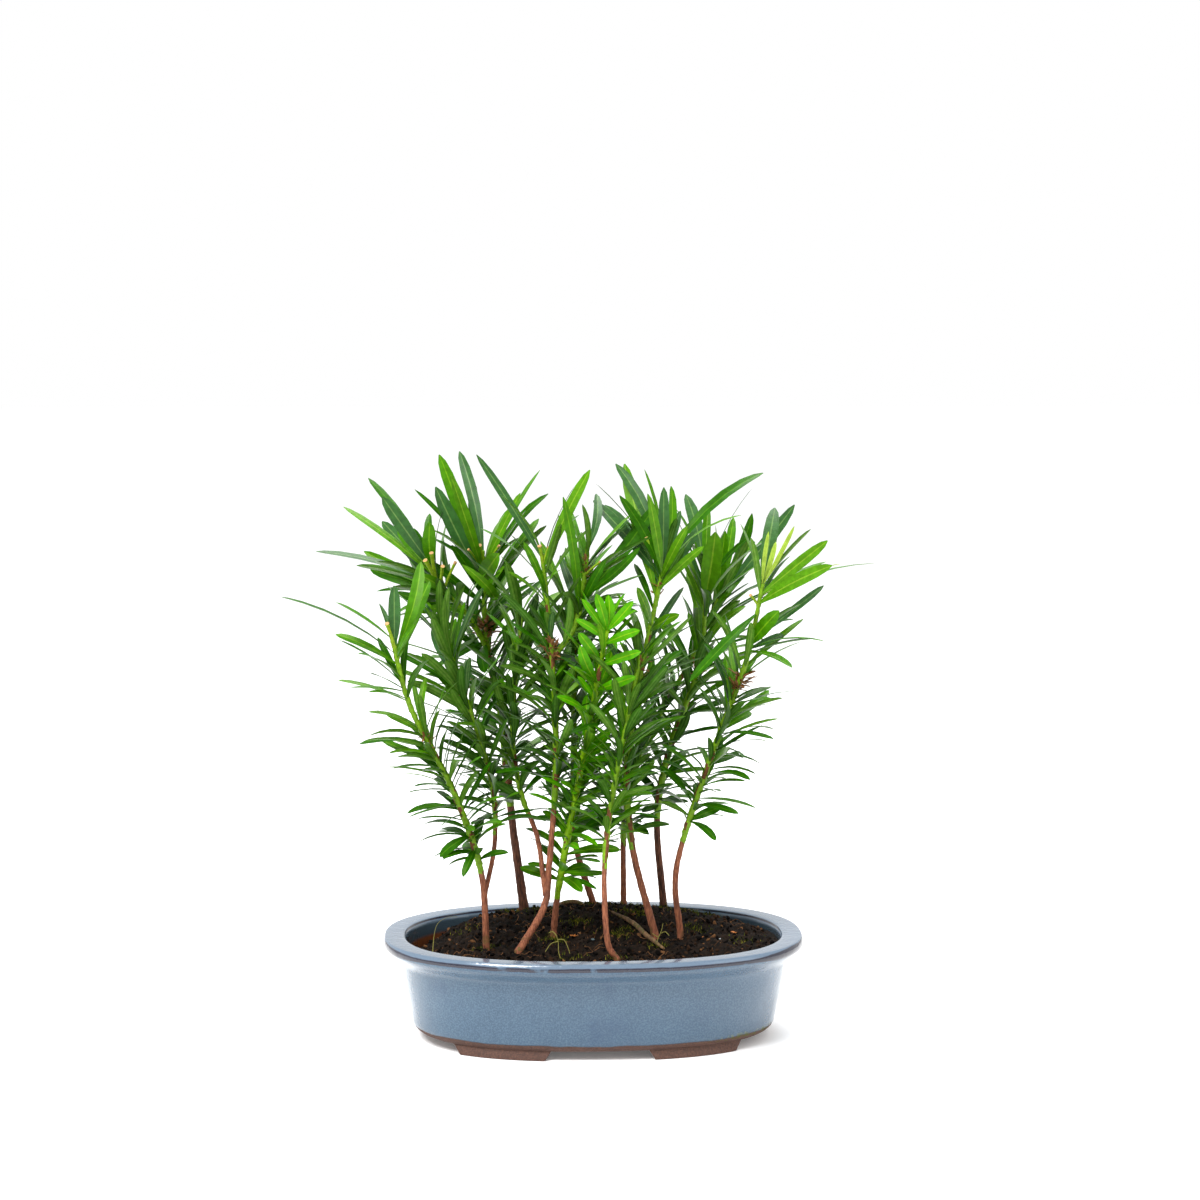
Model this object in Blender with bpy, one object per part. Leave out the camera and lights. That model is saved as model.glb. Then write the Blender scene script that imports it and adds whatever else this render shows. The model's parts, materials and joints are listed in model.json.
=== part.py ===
"""Podocarpus bonsai: a group of seedlings standing in a glazed oval pot, full size.

Sizes are in millimetres and turned into metres where meshes are made. Heights are measured
from the feet's underside, X runs along the pot and the front faces -Y.
"""

import math
import random
from collections import namedtuple

import bmesh
import bpy
from mathutils import Vector
from mathutils.bvhtree import BVHTree

MM = 0.001
SEED = 11
GAP = 0.3  # between pieces that touch
WELD = 2e-7  # metres, within which a Boolean's points are merged

# Where the pot's middle stands, so that the origin is under the middle of the whole plant
POT_X, POT_Y = 7.1, -7.55

# Pot
POT_LENGTH, POT_WIDTH = 230.0, 172.5
OVAL_POWER = 2.34  # 2 is an ellipse, more is squarer
POT_SIDES = 48
# Inset from the lip's outline and height, up the outside, over the lip and down the inside
POT_SECTION = (
    (19.4, 5.0), (17.4, 6.4), (15.7, 9.6), (13.6, 20.0), (11.6, 31.0), (10.0, 39.5),
    (8.2, 43.6), (2.4, 48.6), (0.3, 50.8), (0.0, 52.8), (0.9, 55.0), (2.6, 55.5),
    (10.6, 55.3), (12.0, 54.2), (13.2, 50.0), (16.0, 28.0), (19.0, 13.5), (22.5, 9.5),
)
FLOOR = 9.5
FOOT_INNER, FOOT_OUTER = 27.0, 76.0  # where a foot starts and ends along X
FOOT_SLANT = 2.2
FOOT_BAND = 14.0
FOOT_STEPS = 6
DRAIN_X, DRAIN_RADIUS = 40.0, 6.0

# Soil
SOIL_EDGE = 50.0
MOUND, MOUND_X, MOUND_Y, MOUND_LONG, MOUND_WIDE = 12.0, 5.0, 38.0, 80.0, 45.0
DIP, DIP_FROM, DIP_OVER = 9.0, 62.0, 34.0  # the soil falls away at the left end
SOIL_SIDES, SOIL_RINGS = 36, 8
SOIL_CRUMB = 0.7

# Each stem: its name, thickness at the soil, the height where leaves begin, the lengths of its
# lowest and highest leaves, and its run: height, x and y at its foot, its bends and its tip
Stem = namedtuple("Stem", "name thick bare low high run")
STEMS = (
    Stem("left", 3.8, 93, 19, 38, (
        (51.5, -59, -25), (95, -62, -29), (140, -77, -32), (185, -99, -37), (224, -109, -40))),
    Stem("left_rear", 2.8, 112, 22, 44, (
        (80, -60, -25), (112, -54, -16), (150, -58, -11), (219, -81, -2))),
    Stem("dark_left", 5.5, 121, 24, 46, (
        (57, -36, 54), (110, -43, 52), (170, -49, 49), (210, -57, 45), (262, -59, 39))),
    Stem("upper_left", 3.0, 214, 30, 46, (
        (207, -56, 45), (228, -69, 37), (244, -84, 31), (258, -87, 29))),
    Stem("leaning", 4.0, 131, 26, 46, (
        (52, -42, -33), (74, -28, -24), (95, -25, -19), (150, -21, -15), (210, -23, -12),
        (264, -28, -9))),
    Stem("leaning_rear", 3.0, 128, 24, 44, (
        (80, -27, -22), (110, -31, -12), (135, -40, -6), (170, -44, 1), (232, -38, 14))),
    Stem("upper_middle", 2.8, 214, 30, 42, (
        (207, -23, -12), (228, -9, -9), (268, -3, -6))),
    Stem("middle_rear", 4.0, 101, 22, 46, (
        (60, 3, 50), (100, -8, 44), (150, -9, 34), (234, -9, 27))),
    Stem("bright", 3.6, 75, 23, 30, (
        (55.5, -22, -5), (85, -19, -11), (150, -8, -26), (226, 5, -42))),
    Stem("front", 3.4, 104, 20, 38, (
        (50.5, 10, -54), (66, 4, -53), (120, 5, -47), (212, 23, -37))),
    Stem("right_rear", 3.5, 92, 20, 46, (
        (60, 20, 51), (110, 21, 54), (150, 32, 58), (200, 60, 62), (236, 76, 63))),
    Stem("middle", 4.2, 106, 22, 42, (
        (55.5, 33, -10), (110, 20, -6), (165, 20, -2), (259, 39, 3))),
    Stem("dark_right", 4.4, 115, 22, 46, (
        (58, 43, 54), (110, 39, 51), (150, 46, 47), (200, 62, 42), (252, 65, 36))),
    Stem("right", 3.6, 106, 20, 44, (
        (55.5, 47, -10), (95, 45, -13), (160, 65, -17), (205, 81, -20), (249, 90, -23))),
)
# Boughs leave a trunk below its first leaves, and twigs are one with the foliage they leave
BOUGH_OF = {"left_rear": "left", "leaning_rear": "leaning"}
TWIG_OF = {"upper_left": "dark_left", "upper_middle": "leaning"}
FLARE, FLARE_OVER = 0.1, 7.0  # how much a stem widens at the soil, and over what height
TIP_THICK = 1.9  # a stem's thickness at its tip
STEM_SIDES, SHOOT_SIDES = 8, 3
STEM_STEP = 8.0

# Long leaves that make the crown's outline: height on the stem, degrees leant to the right and
# to the rear, length, and how much of the blade's face shows from the front, from 0 to 1
LONG_LEAVES = {
    "left": (
        (213, -61, -16, 73, 0), (206, -64, 13, 38, 0.3), (200, -52, -48, 43, 0.1),
        (193, -83, -14, 30, 0.1), (188, -69, -49, 33, 0.4), (216, -1, -17, 36, 1),
        (211, 26, -40, 30, 0.6), (209, 24, 33, 53, 0.9)),
    "upper_left": (
        (241, -72, -12, 75, 0.3), (249, -54, 12, 64, 0.5), (251, -36, -19, 54, 1),
        (254, -38, 28, 68, 0.3), (254, 2, 22, 68, 1), (253, -4, -13, 46, 1)),
    "dark_left": (
        (256, -13, 22, 68, 0.8), (248, -16, -29, 67, 1), (260, -8, 43, 61, 0.8),
        (253, 14, -39, 36, 1), (245, 28, 10, 68, 0.1), (250, 24, -14, 50, 0.5),
        (234, 35, 23, 59, 0)),
    "leaning": (
        (261, -32, 8, 69, 0.5), (256, 24, -14, 61, 1), (239, -26, -32, 45, 0.5)),
    "upper_middle": (
        (230, -6, -18, 66, 0.8), (241, 49, -22, 43, 1), (238, 42, 14, 66, 1),
        (252, -10, 23, 54, 0.7)),
    "middle": (
        (254, -22, 25, 69, 0.9), (249, -40, 20, 57, 0.7), (252, -13, 30, 70, 1),
        (255, 0, -16, 46, 0.8), (256, 12, 19, 46, 0.8), (252, -15, -35, 49, 0.7),
        (248, 22, -40, 44, 0.7), (243, 46, -21, 39, 0.8), (246, 41, 40, 46, 1),
        (257, 51, 14, 76, 0.5)),
    "dark_right": (
        (247, 4, 22, 47, 0.7), (233, 5, -37, 48, 1), (239, -10, 34, 59, 0.9),
        (240, 24, -19, 69, 0), (230, 40, -37, 69, 0)),
    "right_rear": (
        (230, 3, -25, 43, 1), (232, 22, -11, 54, 1), (233, 17, 38, 55, 0.4),
        (229, 39, 13, 77, 0.7), (226, -20, 36, 48, 0.7)),
    "right": (
        (246, 14, 40, 57, 0.6), (247, 23, -5, 37, 0.5), (247, 1, -25, 45, 0.5),
        (242, 48, -12, 47, 1), (241, 65, 30, 49, 0.2), (237, 57, -39, 54, 0.9),
        (240, 74, 9, 69, 0), (215, 32, -47, 35, 0.9), (213, 82, -18, 43, 0),
        (210, 101, -50, 43, 0.3), (223, 80, 40, 40, 0)),
}

# Leaves that follow the spiral rule
TURN = math.radians(137.5)
LEAF_STEP = 2.7  # along the stem, from leaf to leaf
LOW_PITCH, HIGH_PITCH = 84.0, 34.0  # degrees from the stem, at its first leaf and its tip
LOW_DROOP = 0.3  # how far the lowest leaves hang, as a share of their length
LONG_BOW, LOW_BOW, HIGH_BOW = 0.06, 0.1, 0.05  # how far leaves arch, of their length
ROLL = 0.8  # radians, how far a blade may turn about its length
LEAF_WIDTH, WIDTH_PER_LENGTH = 3.4, 0.055
LEAF_THICK = 0.8
WIDEST = 0.44  # of a leaf's length
TRIES = 5
ROOT_FREE = 0.3  # of a leaf's length, where it may lie against leaves of its own stem
CLEAR = 0.5

# Exposed roots: thickness and run as x, y and height
ROOTS = {
    "root_lying": (3.2, ((10, 29, 61.2), (22, 5, 59.0), (28, -16, 56.4), (36, -35, 53.0))),
    "root_arched": (2.4, ((-19, 43, 60.0), (-13, 44, 63.2), (-6, 44, 63.0), (-2, 43, 60.8))),
}

COLOURS = {
    "pot": ((0.24, 0.36, 0.48), 0.18, 0.0),
    "soil": ((0.035, 0.024, 0.018), 0.95, 0.0),
    "bark": ((0.30, 0.14, 0.09), 0.75, 0.0),
    "dark_bark": ((0.14, 0.08, 0.05), 0.85, 0.0),
    "leaf": ((0.05, 0.20, 0.03), 0.45, 0.0),
    "bright_leaf": ((0.14, 0.42, 0.02), 0.40, 0.0),
}


def clear_scene():
    for obj in list(bpy.data.objects):
        bpy.data.objects.remove(obj, do_unlink=True)


def material(name, colour):
    rgb, roughness, metallic = COLOURS[colour]
    mat = bpy.data.materials.new(name)
    mat.use_nodes = True
    shader = mat.node_tree.nodes["Principled BSDF"]
    shader.inputs["Base Color"].default_value = (*rgb, 1.0)
    shader.inputs["Roughness"].default_value = roughness
    shader.inputs["Metallic"].default_value = metallic
    return mat


def add_object(name, points, faces, colour=None, collection=None):
    """Make an object from points in millimetres, measured from the pot's middle."""
    mesh = bpy.data.meshes.new(name)
    shifted = [((x + POT_X) * MM, (y + POT_Y) * MM, z * MM) for x, y, z in points]
    mesh.from_pydata(shifted, [], faces)
    bm = bmesh.new()
    bm.from_mesh(mesh)
    bmesh.ops.recalc_face_normals(bm, faces=bm.faces)
    bm.to_mesh(mesh)
    bm.free()
    obj = bpy.data.objects.new(name, mesh)
    (collection or bpy.context.scene.collection).objects.link(obj)
    if colour:
        mesh.materials.append(material(name, colour))
    return obj


def apply_modifiers(obj):
    """Swap the object's mesh for the one that its modifiers make."""
    graph = bpy.context.evaluated_depsgraph_get()
    mesh = bpy.data.meshes.new_from_object(obj.evaluated_get(graph))
    obj.modifiers.clear()
    old, obj.data = obj.data, mesh
    name = old.name
    bpy.data.meshes.remove(old)
    mesh.name = name


def combine(obj, others, operation):
    """Join or cut an object with a collection of others in one Boolean, then drop the others."""
    group = bpy.data.collections.new(obj.name + "_others")
    bpy.context.scene.collection.children.link(group)
    for other in others:
        for holder in list(other.users_collection):
            holder.objects.unlink(other)
        group.objects.link(other)
    step = obj.modifiers.new("combine", "BOOLEAN")
    step.operand_type = "COLLECTION"
    step.collection = group
    step.operation = operation
    step.solver = "EXACT"
    apply_modifiers(obj)
    for other in others:
        bpy.data.objects.remove(other, do_unlink=True)
    bpy.data.collections.remove(group)


def weld(obj):
    """Merge points that all but touch, and tell whether the surface is closed and in one piece."""
    bm = bmesh.new()
    bm.from_mesh(obj.data)
    bmesh.ops.remove_doubles(bm, verts=bm.verts, dist=WELD)
    bmesh.ops.dissolve_degenerate(bm, edges=bm.edges, dist=WELD)
    bmesh.ops.triangulate(bm, faces=bm.faces)
    closed = all(edge.is_manifold for edge in bm.edges)
    bm.faces.ensure_lookup_table()
    waiting, reached = [bm.faces[0]], {bm.faces[0]}
    while waiting:
        near = {other for edge in waiting.pop().edges for other in edge.link_faces} - reached
        reached |= near
        waiting.extend(near)
    whole = closed and len(reached) == len(bm.faces)
    bm.to_mesh(obj.data)
    bm.free()
    return whole


def shade(obj, angle):
    obj.data.shade_smooth()
    obj.data.set_sharp_from_angle(angle=math.radians(angle))


# Pot and soil


def oval(inset, count):
    """Points of the pot's outline, moved in by a distance."""
    long, wide = POT_LENGTH / 2 - inset, POT_WIDTH / 2 - inset
    points = []
    for k in range(count):
        c, s = math.cos(math.tau * k / count), math.sin(math.tau * k / count)
        x = math.copysign(abs(c) ** (2 / OVAL_POWER), c)
        y = math.copysign(abs(s) ** (2 / OVAL_POWER), s)
        points.append((long * x, wide * y))
    return points


def oval_y(x, inset):
    """How far the outline is from the pot's long middle line at a given x."""
    long, wide = POT_LENGTH / 2 - inset, POT_WIDTH / 2 - inset
    return wide * (1 - (abs(x) / long) ** OVAL_POWER) ** (1 / OVAL_POWER)


def loft(rings):
    """Skin closed rings of equal count and cap the first and the last."""
    count = len(rings[0])
    points = [p for ring in rings for p in ring]
    faces = [tuple(range(count))[::-1]]
    for r in range(len(rings) - 1):
        a, b = r * count, (r + 1) * count
        for k in range(count):
            n = (k + 1) % count
            faces.append((a + k, a + n, b + n, b + k))
    faces.append(tuple(range((len(rings) - 1) * count, len(rings) * count)))
    return points, faces


def foot(side_x, side_y):
    """One foot under the body: a curved block with slanted ends, sunk into the floor."""
    rings = []
    for k in range(FOOT_STEPS + 1):
        t = k / FOOT_STEPS
        ring = []
        for height, slant, inset in ((0, FOOT_SLANT, 17.6), (7, -FOOT_SLANT, 19.6),
                                     (7, -FOOT_SLANT, 19.6 + FOOT_BAND),
                                     (0, FOOT_SLANT, 18.8 + FOOT_BAND)):
            start, end = FOOT_INNER + slant, FOOT_OUTER - slant
            x = start + (end - start) * t
            ring.append((side_x * x, side_y * oval_y(x, inset), height))
        rings.append(ring)
    points, faces = loft(rings)
    return add_object("foot", points, faces)


def cylinder(name, x, y, bottom, top, radius, sides):
    ring = [(x + radius * math.cos(math.tau * k / sides), y + radius * math.sin(math.tau * k / sides))
            for k in range(sides)]
    points, faces = loft([[(a, b, bottom) for a, b in ring], [(a, b, top) for a, b in ring]])
    return add_object(name, points, faces)


def make_pot():
    rings = [[(x, y, z) for x, y in oval(inset, POT_SIDES)] for inset, z in POT_SECTION]
    pot = add_object("pot", *loft(rings), "pot")
    combine(pot, [foot(sx, sy) for sx in (-1, 1) for sy in (-1, 1)], "UNION")
    drains = [cylinder("drain", sx * DRAIN_X, 0, 2, 14, DRAIN_RADIUS, 16) for sx in (-1, 1)]
    combine(pot, drains, "DIFFERENCE")
    shade(pot, 42)


def soil_height(x, y):
    """The soil's surface: level at the rim, mounded at the rear, low at the left end."""
    long, wide = POT_LENGTH / 2 - 13, POT_WIDTH / 2 - 13
    out = ((abs(x) / long) ** OVAL_POWER + (abs(y) / wide) ** OVAL_POWER) ** (1 / OVAL_POWER)
    away = ((x - MOUND_X) / MOUND_LONG) ** 2 + ((y - MOUND_Y) / MOUND_WIDE) ** 2
    mound = MOUND * math.exp(-away) * max(0.0, 1 - out ** 8)
    t = min(1.0, max(0.0, (-x - DIP_FROM) / DIP_OVER))
    return SOIL_EDGE + mound - DIP * t * t * (3 - 2 * t)


def make_soil(rng):
    """The soil as rings that close in on the middle, with a socket under each stem."""
    bottom = [(x, y, FLOOR + GAP) for x, y in oval(22.9, SOIL_SIDES)]
    low = [(x, y, 14.0) for x, y in oval(19.4, SOIL_SIDES)]
    middle = [(x, y, 28.0) for x, y in oval(16.4, SOIL_SIDES)]
    rings = [bottom, low, middle]
    for k in range(SOIL_RINGS):
        share = 1 - (k / SOIL_RINGS) ** 1.1
        ring = []
        for x, y in oval(14.6, SOIL_SIDES):
            x, y = x * share, y * share
            crumb = rng.uniform(-SOIL_CRUMB, SOIL_CRUMB) if k else 0.0
            ring.append((x, y, soil_height(x, y) + crumb))
        rings.append(ring)
    soil = add_object("soil", *loft(rings), "soil")
    sockets = []
    for stem in STEMS:
        if stands(stem):
            z, x, y = stem.run[0]
            radius = stem_radius(stem, z) + GAP + 0.4
            sockets.append(cylinder("socket", x, y, z - GAP, z + 12, radius, 12))
    for name in ROOTS:
        points, radii = root_run(name)
        sockets.append(add_object("socket", *tube(points, [r + GAP for r in radii], 6)))
    combine(soil, sockets, "DIFFERENCE")
    shade(soil, 40)


# Stems


def smooth_run(run, step):
    """Points every few millimetres along a smooth line through a stem's own points."""
    knots = [Vector((x, y, z)) for z, x, y in run]
    knots = [2 * knots[0] - knots[1]] + knots + [2 * knots[-1] - knots[-2]]
    points = []
    for k in range(1, len(knots) - 2):
        a, b, c, d = knots[k - 1:k + 3]
        pieces = max(1, round((c - b).length / step))
        for j in range(pieces):
            t = j / pieces
            points.append(0.5 * (2 * b + (c - a) * t + (2 * a - 5 * b + 4 * c - d) * t * t
                                 + (3 * b - a - 3 * c + d) * t ** 3))
    points.append(knots[-2])
    return points


def stands(stem):
    """Whether a stem stands in the soil, and doesn't leave another one."""
    return stem.name not in BOUGH_OF and stem.name not in TWIG_OF


def stem_radius(stem, z):
    """Half the stem's thickness at a height, wider just above the soil."""
    bottom, top = stem.run[0][0], stem.run[-1][0]
    share = (z - bottom) / (top - bottom)
    thick = stem.thick + (TIP_THICK - stem.thick) * share ** 0.8 if share > 0 else stem.thick
    if stands(stem):
        thick *= 1 + FLARE * math.exp(-(z - bottom) * 2.2 / FLARE_OVER)
    return thick / 2


def frames(points):
    """A direction and two sideways axes at each point of a line, with no twist between them."""
    side = Vector((1, 0, 0))
    out = []
    for k, point in enumerate(points):
        ahead = points[min(k + 1, len(points) - 1)] - points[max(k - 1, 0)]
        ahead.normalize()
        side = (side - ahead * side.dot(ahead)).normalized()
        out.append((point, ahead, side, ahead.cross(side)))
    return out


def tube(points, radii, sides, flat_start=False, twist=0.0):
    """A tube of rings round a line, with its first ring level where it stands on the soil."""
    angles = [twist + math.tau * j / sides for j in range(sides)]
    rings = []
    for k, (point, ahead, side, up) in enumerate(frames(points)):
        if k == 0 and flat_start:
            side, up = Vector((1, 0, 0)), Vector((0, 1, 0))
        rings.append([tuple(point + radii[k] * (math.cos(a) * side + math.sin(a) * up))
                      for a in angles])
    return loft(rings)


def split_run(stem):
    """A stem's woody points and the points of its leafy shoot, clear of each other."""
    points = smooth_run(stem.run, STEM_STEP)
    if stem.name in TWIG_OF:
        return [], points
    wood = [p for p in points if p.z < stem.bare]
    shoot = [p for p in points if p.z >= stem.bare]
    wood.append(shoot[0].copy())
    ahead = (shoot[1] - shoot[0]).normalized()
    shoot[0] = shoot[0] + ahead * GAP
    return wood, shoot


def fat_tree(points, faces):
    return BVHTree.FromPolygons([Vector(p) for p in points], faces)


def add_wood(stem, wood, taken):
    """The woody part as its own object: a trunk, or a bough cut clear of its trunk."""
    is_bough = stem.name in BOUGH_OF
    radii = [stem_radius(stem, p.z) for p in wood]
    points, faces = tube(wood, radii, STEM_SIDES, not is_bough)
    kind = "bough_" if is_bough else "trunk_"
    dark = stem.name.startswith("dark")
    obj = add_object(kind + stem.name, points, faces, "dark_bark" if dark else "bark")
    fat, fat_faces = tube(wood, [r + CLEAR for r in radii], 6)
    taken.append(Taken(stem.name, "wood", wood[0], 200.0, fat_tree(fat, fat_faces)))
    return obj


def cut_bough(obj, parent):
    """Cut a bough's lower end clear of the trunk or shoot that it leaves."""
    points = smooth_run(parent.run, STEM_STEP)
    fat = tube(points, [stem_radius(parent, p.z) + GAP + 0.1 for p in points], STEM_SIDES)
    combine(obj, [add_object("cut", *fat)], "DIFFERENCE")


# Leaves

# What a new leaf has to keep clear of: whose it is, its kind, its middle, its reach and its faces
Taken = namedtuple("Taken", "owner kind centre size tree")


def leaf_mesh(root, tip, normal, width, bow, fatten=0.0):
    """A leaf of six faces from its root to its tip, arched and keeled at its widest place."""
    ahead = tip - root
    length = ahead.length
    ahead.normalize()
    normal = (normal - ahead * normal.dot(ahead)).normalized()
    side = ahead.cross(normal)
    middle = root + ahead * length * WIDEST + normal * bow
    wide, top = side * (width / 2 + 2 * fatten), normal * (LEAF_THICK / 3 + fatten)
    keel = middle - normal * (LEAF_THICK * 2 / 3 + 2 * fatten)
    points = [root - ahead * fatten, tip + ahead * fatten, middle + top + wide, middle + top - wide,
              keel]
    faces = [(0, 2, 3), (0, 3, 4), (0, 4, 2), (1, 3, 2), (1, 4, 3), (1, 2, 4)]
    return [tuple(p) for p in points], faces


def is_free(name, root, tip, normal, width, bow, taken):
    """Whether a leaf keeps clear of other nodes, and beyond its root of its own stem's leaves."""
    own_root = root + (tip - root) * ROOT_FREE
    whole = fat_tree(*leaf_mesh(root, tip, normal, width, bow, CLEAR / 2))
    outer = fat_tree(*leaf_mesh(own_root, tip, normal, width, bow, 0.1))
    middle, reach = (root + tip) / 2, (tip - root).length / 2
    for other in taken:
        own = other.owner == name
        if own and other.kind == "shoot" or (middle - other.centre).length > reach + other.size:
            continue
        if (outer if own and other.kind == "leaf" else whole).overlap(other.tree):
            return False
    return True


def spiral_leaf(stem, frame, share, angle, rng):
    """Where a leaf of the spiral starts and ends, for its place on the stem."""
    point, ahead, side, up = frame
    pitch = math.radians(LOW_PITCH + (HIGH_PITCH - LOW_PITCH) * share + rng.uniform(-9, 9))
    length = (stem.low + (stem.high - stem.low) * share ** 0.6) * rng.uniform(0.85, 1.2)
    out = math.cos(angle) * side + math.sin(angle) * up
    direction = math.cos(pitch) * ahead + math.sin(pitch) * out
    direction.z += rng.uniform(-0.12, 0.1) - LOW_DROOP * max(0.0, 1 - 3 * share)
    direction.normalize()
    normal = (ahead - direction * ahead.dot(direction)).normalized()
    roll = rng.uniform(-ROLL, ROLL)
    normal = math.cos(roll) * normal + math.sin(roll) * direction.cross(normal)
    return out, direction, normal, length


def leaf_width(run):
    return LEAF_WIDTH + WIDTH_PER_LENGTH * run.length


def mass_of(stem):
    """The name of the foliage that a stem's leaves belong to."""
    return TWIG_OF.get(stem.name, stem.name)


def reach_stem(frame, out, radius):
    """A leaf's root, sunk past the stem's middle so that it fuses well."""
    return frame[0] - out * radius * 0.3


def grow_long_leaves(stem, shoot, taken, leaves):
    for height, lean, back, length, face in LONG_LEAVES.get(stem.name, ()):
        frame = min(shoot, key=lambda f: abs(f[0].z - height))
        lean, back = math.radians(lean), math.radians(back)
        ahead = Vector((math.sin(lean) * math.cos(back), math.sin(back),
                        math.cos(lean) * math.cos(back)))
        out = (ahead - frame[1] * ahead.dot(frame[1])).normalized()
        root = reach_stem(frame, out, stem_radius(stem, frame[0].z))
        tip = frame[0] + ahead * length
        normal = frame[1].lerp(Vector((0, -1, 0.3)), face)
        width, bow = leaf_width(tip - root), LONG_BOW * length
        if is_free(mass_of(stem), root, tip, normal, width, bow, taken):
            keep_leaf(mass_of(stem), root, tip, normal, width, bow, taken, leaves)


def keep_leaf(mass, root, tip, normal, width, bow, taken, leaves):
    leaves.append(leaf_mesh(root, tip, normal, width, bow))
    tree = fat_tree(*leaf_mesh(root, tip, normal, width, bow, CLEAR / 2))
    taken.append(Taken(mass, "leaf", (root + tip) / 2, (tip - root).length / 2 + 1, tree))


def grow_leaf(stem, shoot, k, taken, leaves, rng):
    """Try one leaf of the spiral in a few turns and lengths, and leave it out if none is free."""
    share = min(1.0, k / max(1, len(shoot) - 1))
    frame = shoot[k]
    for attempt in range(TRIES):
        angle = k * TURN + attempt * 0.55 * (-1) ** attempt
        out, direction, normal, length = spiral_leaf(stem, frame, share, angle, rng)
        length *= 1 - 0.1 * attempt
        root = reach_stem(frame, out, stem_radius(stem, frame[0].z))
        tip = root + direction * length
        width, bow = leaf_width(tip - root), (LOW_BOW + (HIGH_BOW - LOW_BOW) * share) * length
        if is_free(mass_of(stem), root, tip, normal, width, bow, taken):
            keep_leaf(mass_of(stem), root, tip, normal, width, bow, taken, leaves)
            return


def grow_leaves(shoots, taken, rng):
    """Long leaves first, then the spirals of all stems side by side, so that they share room."""
    leaves = {mass_of(stem): [] for stem in STEMS}
    spaced = {}
    for stem in STEMS:
        spaced[stem.name] = frames(respace(shoots[stem.name], LEAF_STEP))
        grow_long_leaves(stem, spaced[stem.name], taken, leaves[mass_of(stem)])
    longest = max(len(places) for places in spaced.values())
    for k in range(1, longest):
        for stem in STEMS:
            if k < len(spaced[stem.name]):
                grow_leaf(stem, spaced[stem.name], k, taken, leaves[mass_of(stem)], rng)
    return leaves


def respace(points, step):
    """The same line with a point at every step along it."""
    out, left = [points[0]], step
    for a, b in zip(points, points[1:]):
        while (b - a).length > left:
            a = a + (b - a).normalized() * left
            out.append(a)
            left = step
        left -= (b - a).length
    return out


def shoot_tube(stem, shoot, twist):
    radii = [stem_radius(stem, p.z) for p in shoot]
    radii[-1] *= 0.6
    return tube(shoot, radii, SHOOT_SIDES, twist=twist)


def join_foliage(stem, shoots, leaves, twist):
    """A stem's leafy shoot with its twigs and leaves, joined into one solid."""
    colour = "bright_leaf" if stem.name == "bright" else "leaf"
    obj = add_object("foliage_" + stem.name, *shoot_tube(stem, shoots[stem.name], twist), colour)
    parts = [add_object("twig", *shoot_tube(twig, shoots[twig.name], twist))
             for twig in STEMS if TWIG_OF.get(twig.name) == stem.name]
    parts += [add_object("leaf", *leaf) for leaf in leaves]
    combine(obj, parts, "UNION")
    return obj


def make_foliage(stem, shoots, leaves):
    """Join a mass, and again with its stem's corners turned where leaves only graze them."""
    for attempt in range(TRIES):
        obj = join_foliage(stem, shoots, leaves, 0.3 * attempt)
        if weld(obj):
            return
        bpy.data.objects.remove(obj, do_unlink=True)
    raise RuntimeError(f"the foliage of {stem.name} doesn't close")


def make_plant(rng):
    taken, shoots, limbs = [], {}, {}
    for stem in STEMS:
        wood, shoots[stem.name] = split_run(stem)
        if wood:
            limbs[stem.name] = add_wood(stem, wood, taken)
    for stem in STEMS:
        shoot = shoots[stem.name]
        fat, faces = tube(shoot, [stem_radius(stem, p.z) + CLEAR for p in shoot], 6)
        taken.append(Taken(mass_of(stem), "shoot", shoot[0], 200.0, fat_tree(fat, faces)))
    leaves = grow_leaves(shoots, taken, rng)
    for stem in STEMS:
        if stem.name not in TWIG_OF:
            make_foliage(stem, shoots, leaves[stem.name])
    for name, parent in BOUGH_OF.items():
        cut_bough(limbs[name], next(s for s in STEMS if s.name == parent))
    for obj in limbs.values():
        shade(obj, 50)


def root_run(name):
    """An exposed root's points and its radius at each, slimmer towards both ends."""
    thick, run = ROOTS[name]
    points = smooth_run([(z, x, y) for x, y, z in run], 4.0)
    last = len(points) - 1
    return points, [thick / 2 * (1 - 0.5 * abs(2 * k / last - 1) ** 3) for k in range(last + 1)]


def make_roots():
    for name in ROOTS:
        points, radii = root_run(name)
        shade(add_object(name, *tube(points, radii, 6), "dark_bark"), 60)


def main():
    rng = random.Random(SEED)
    clear_scene()
    make_pot()
    make_soil(rng)
    make_plant(rng)
    make_roots()


main()
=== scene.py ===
"""The dressed podocarpus bonsai: a group of leafy seedlings in a glazed oval pot.

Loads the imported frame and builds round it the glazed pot, the soil with its moss and litter, the
bark of the stems, the leafy shoots and the leaves. Places are millimetres from the pot's middle,
with X along the pot and the front facing -Y, until a mesh is made in metres.
"""

from __future__ import annotations

import json
import logging
import math
import random
from collections.abc import Callable, Iterator, Sequence
from dataclasses import dataclass, field
from enum import Enum
from itertools import product

import bmesh
import bpy
import numpy as np
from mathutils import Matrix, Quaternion, Vector, noise
from mathutils.bvhtree import BVHTree

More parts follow.
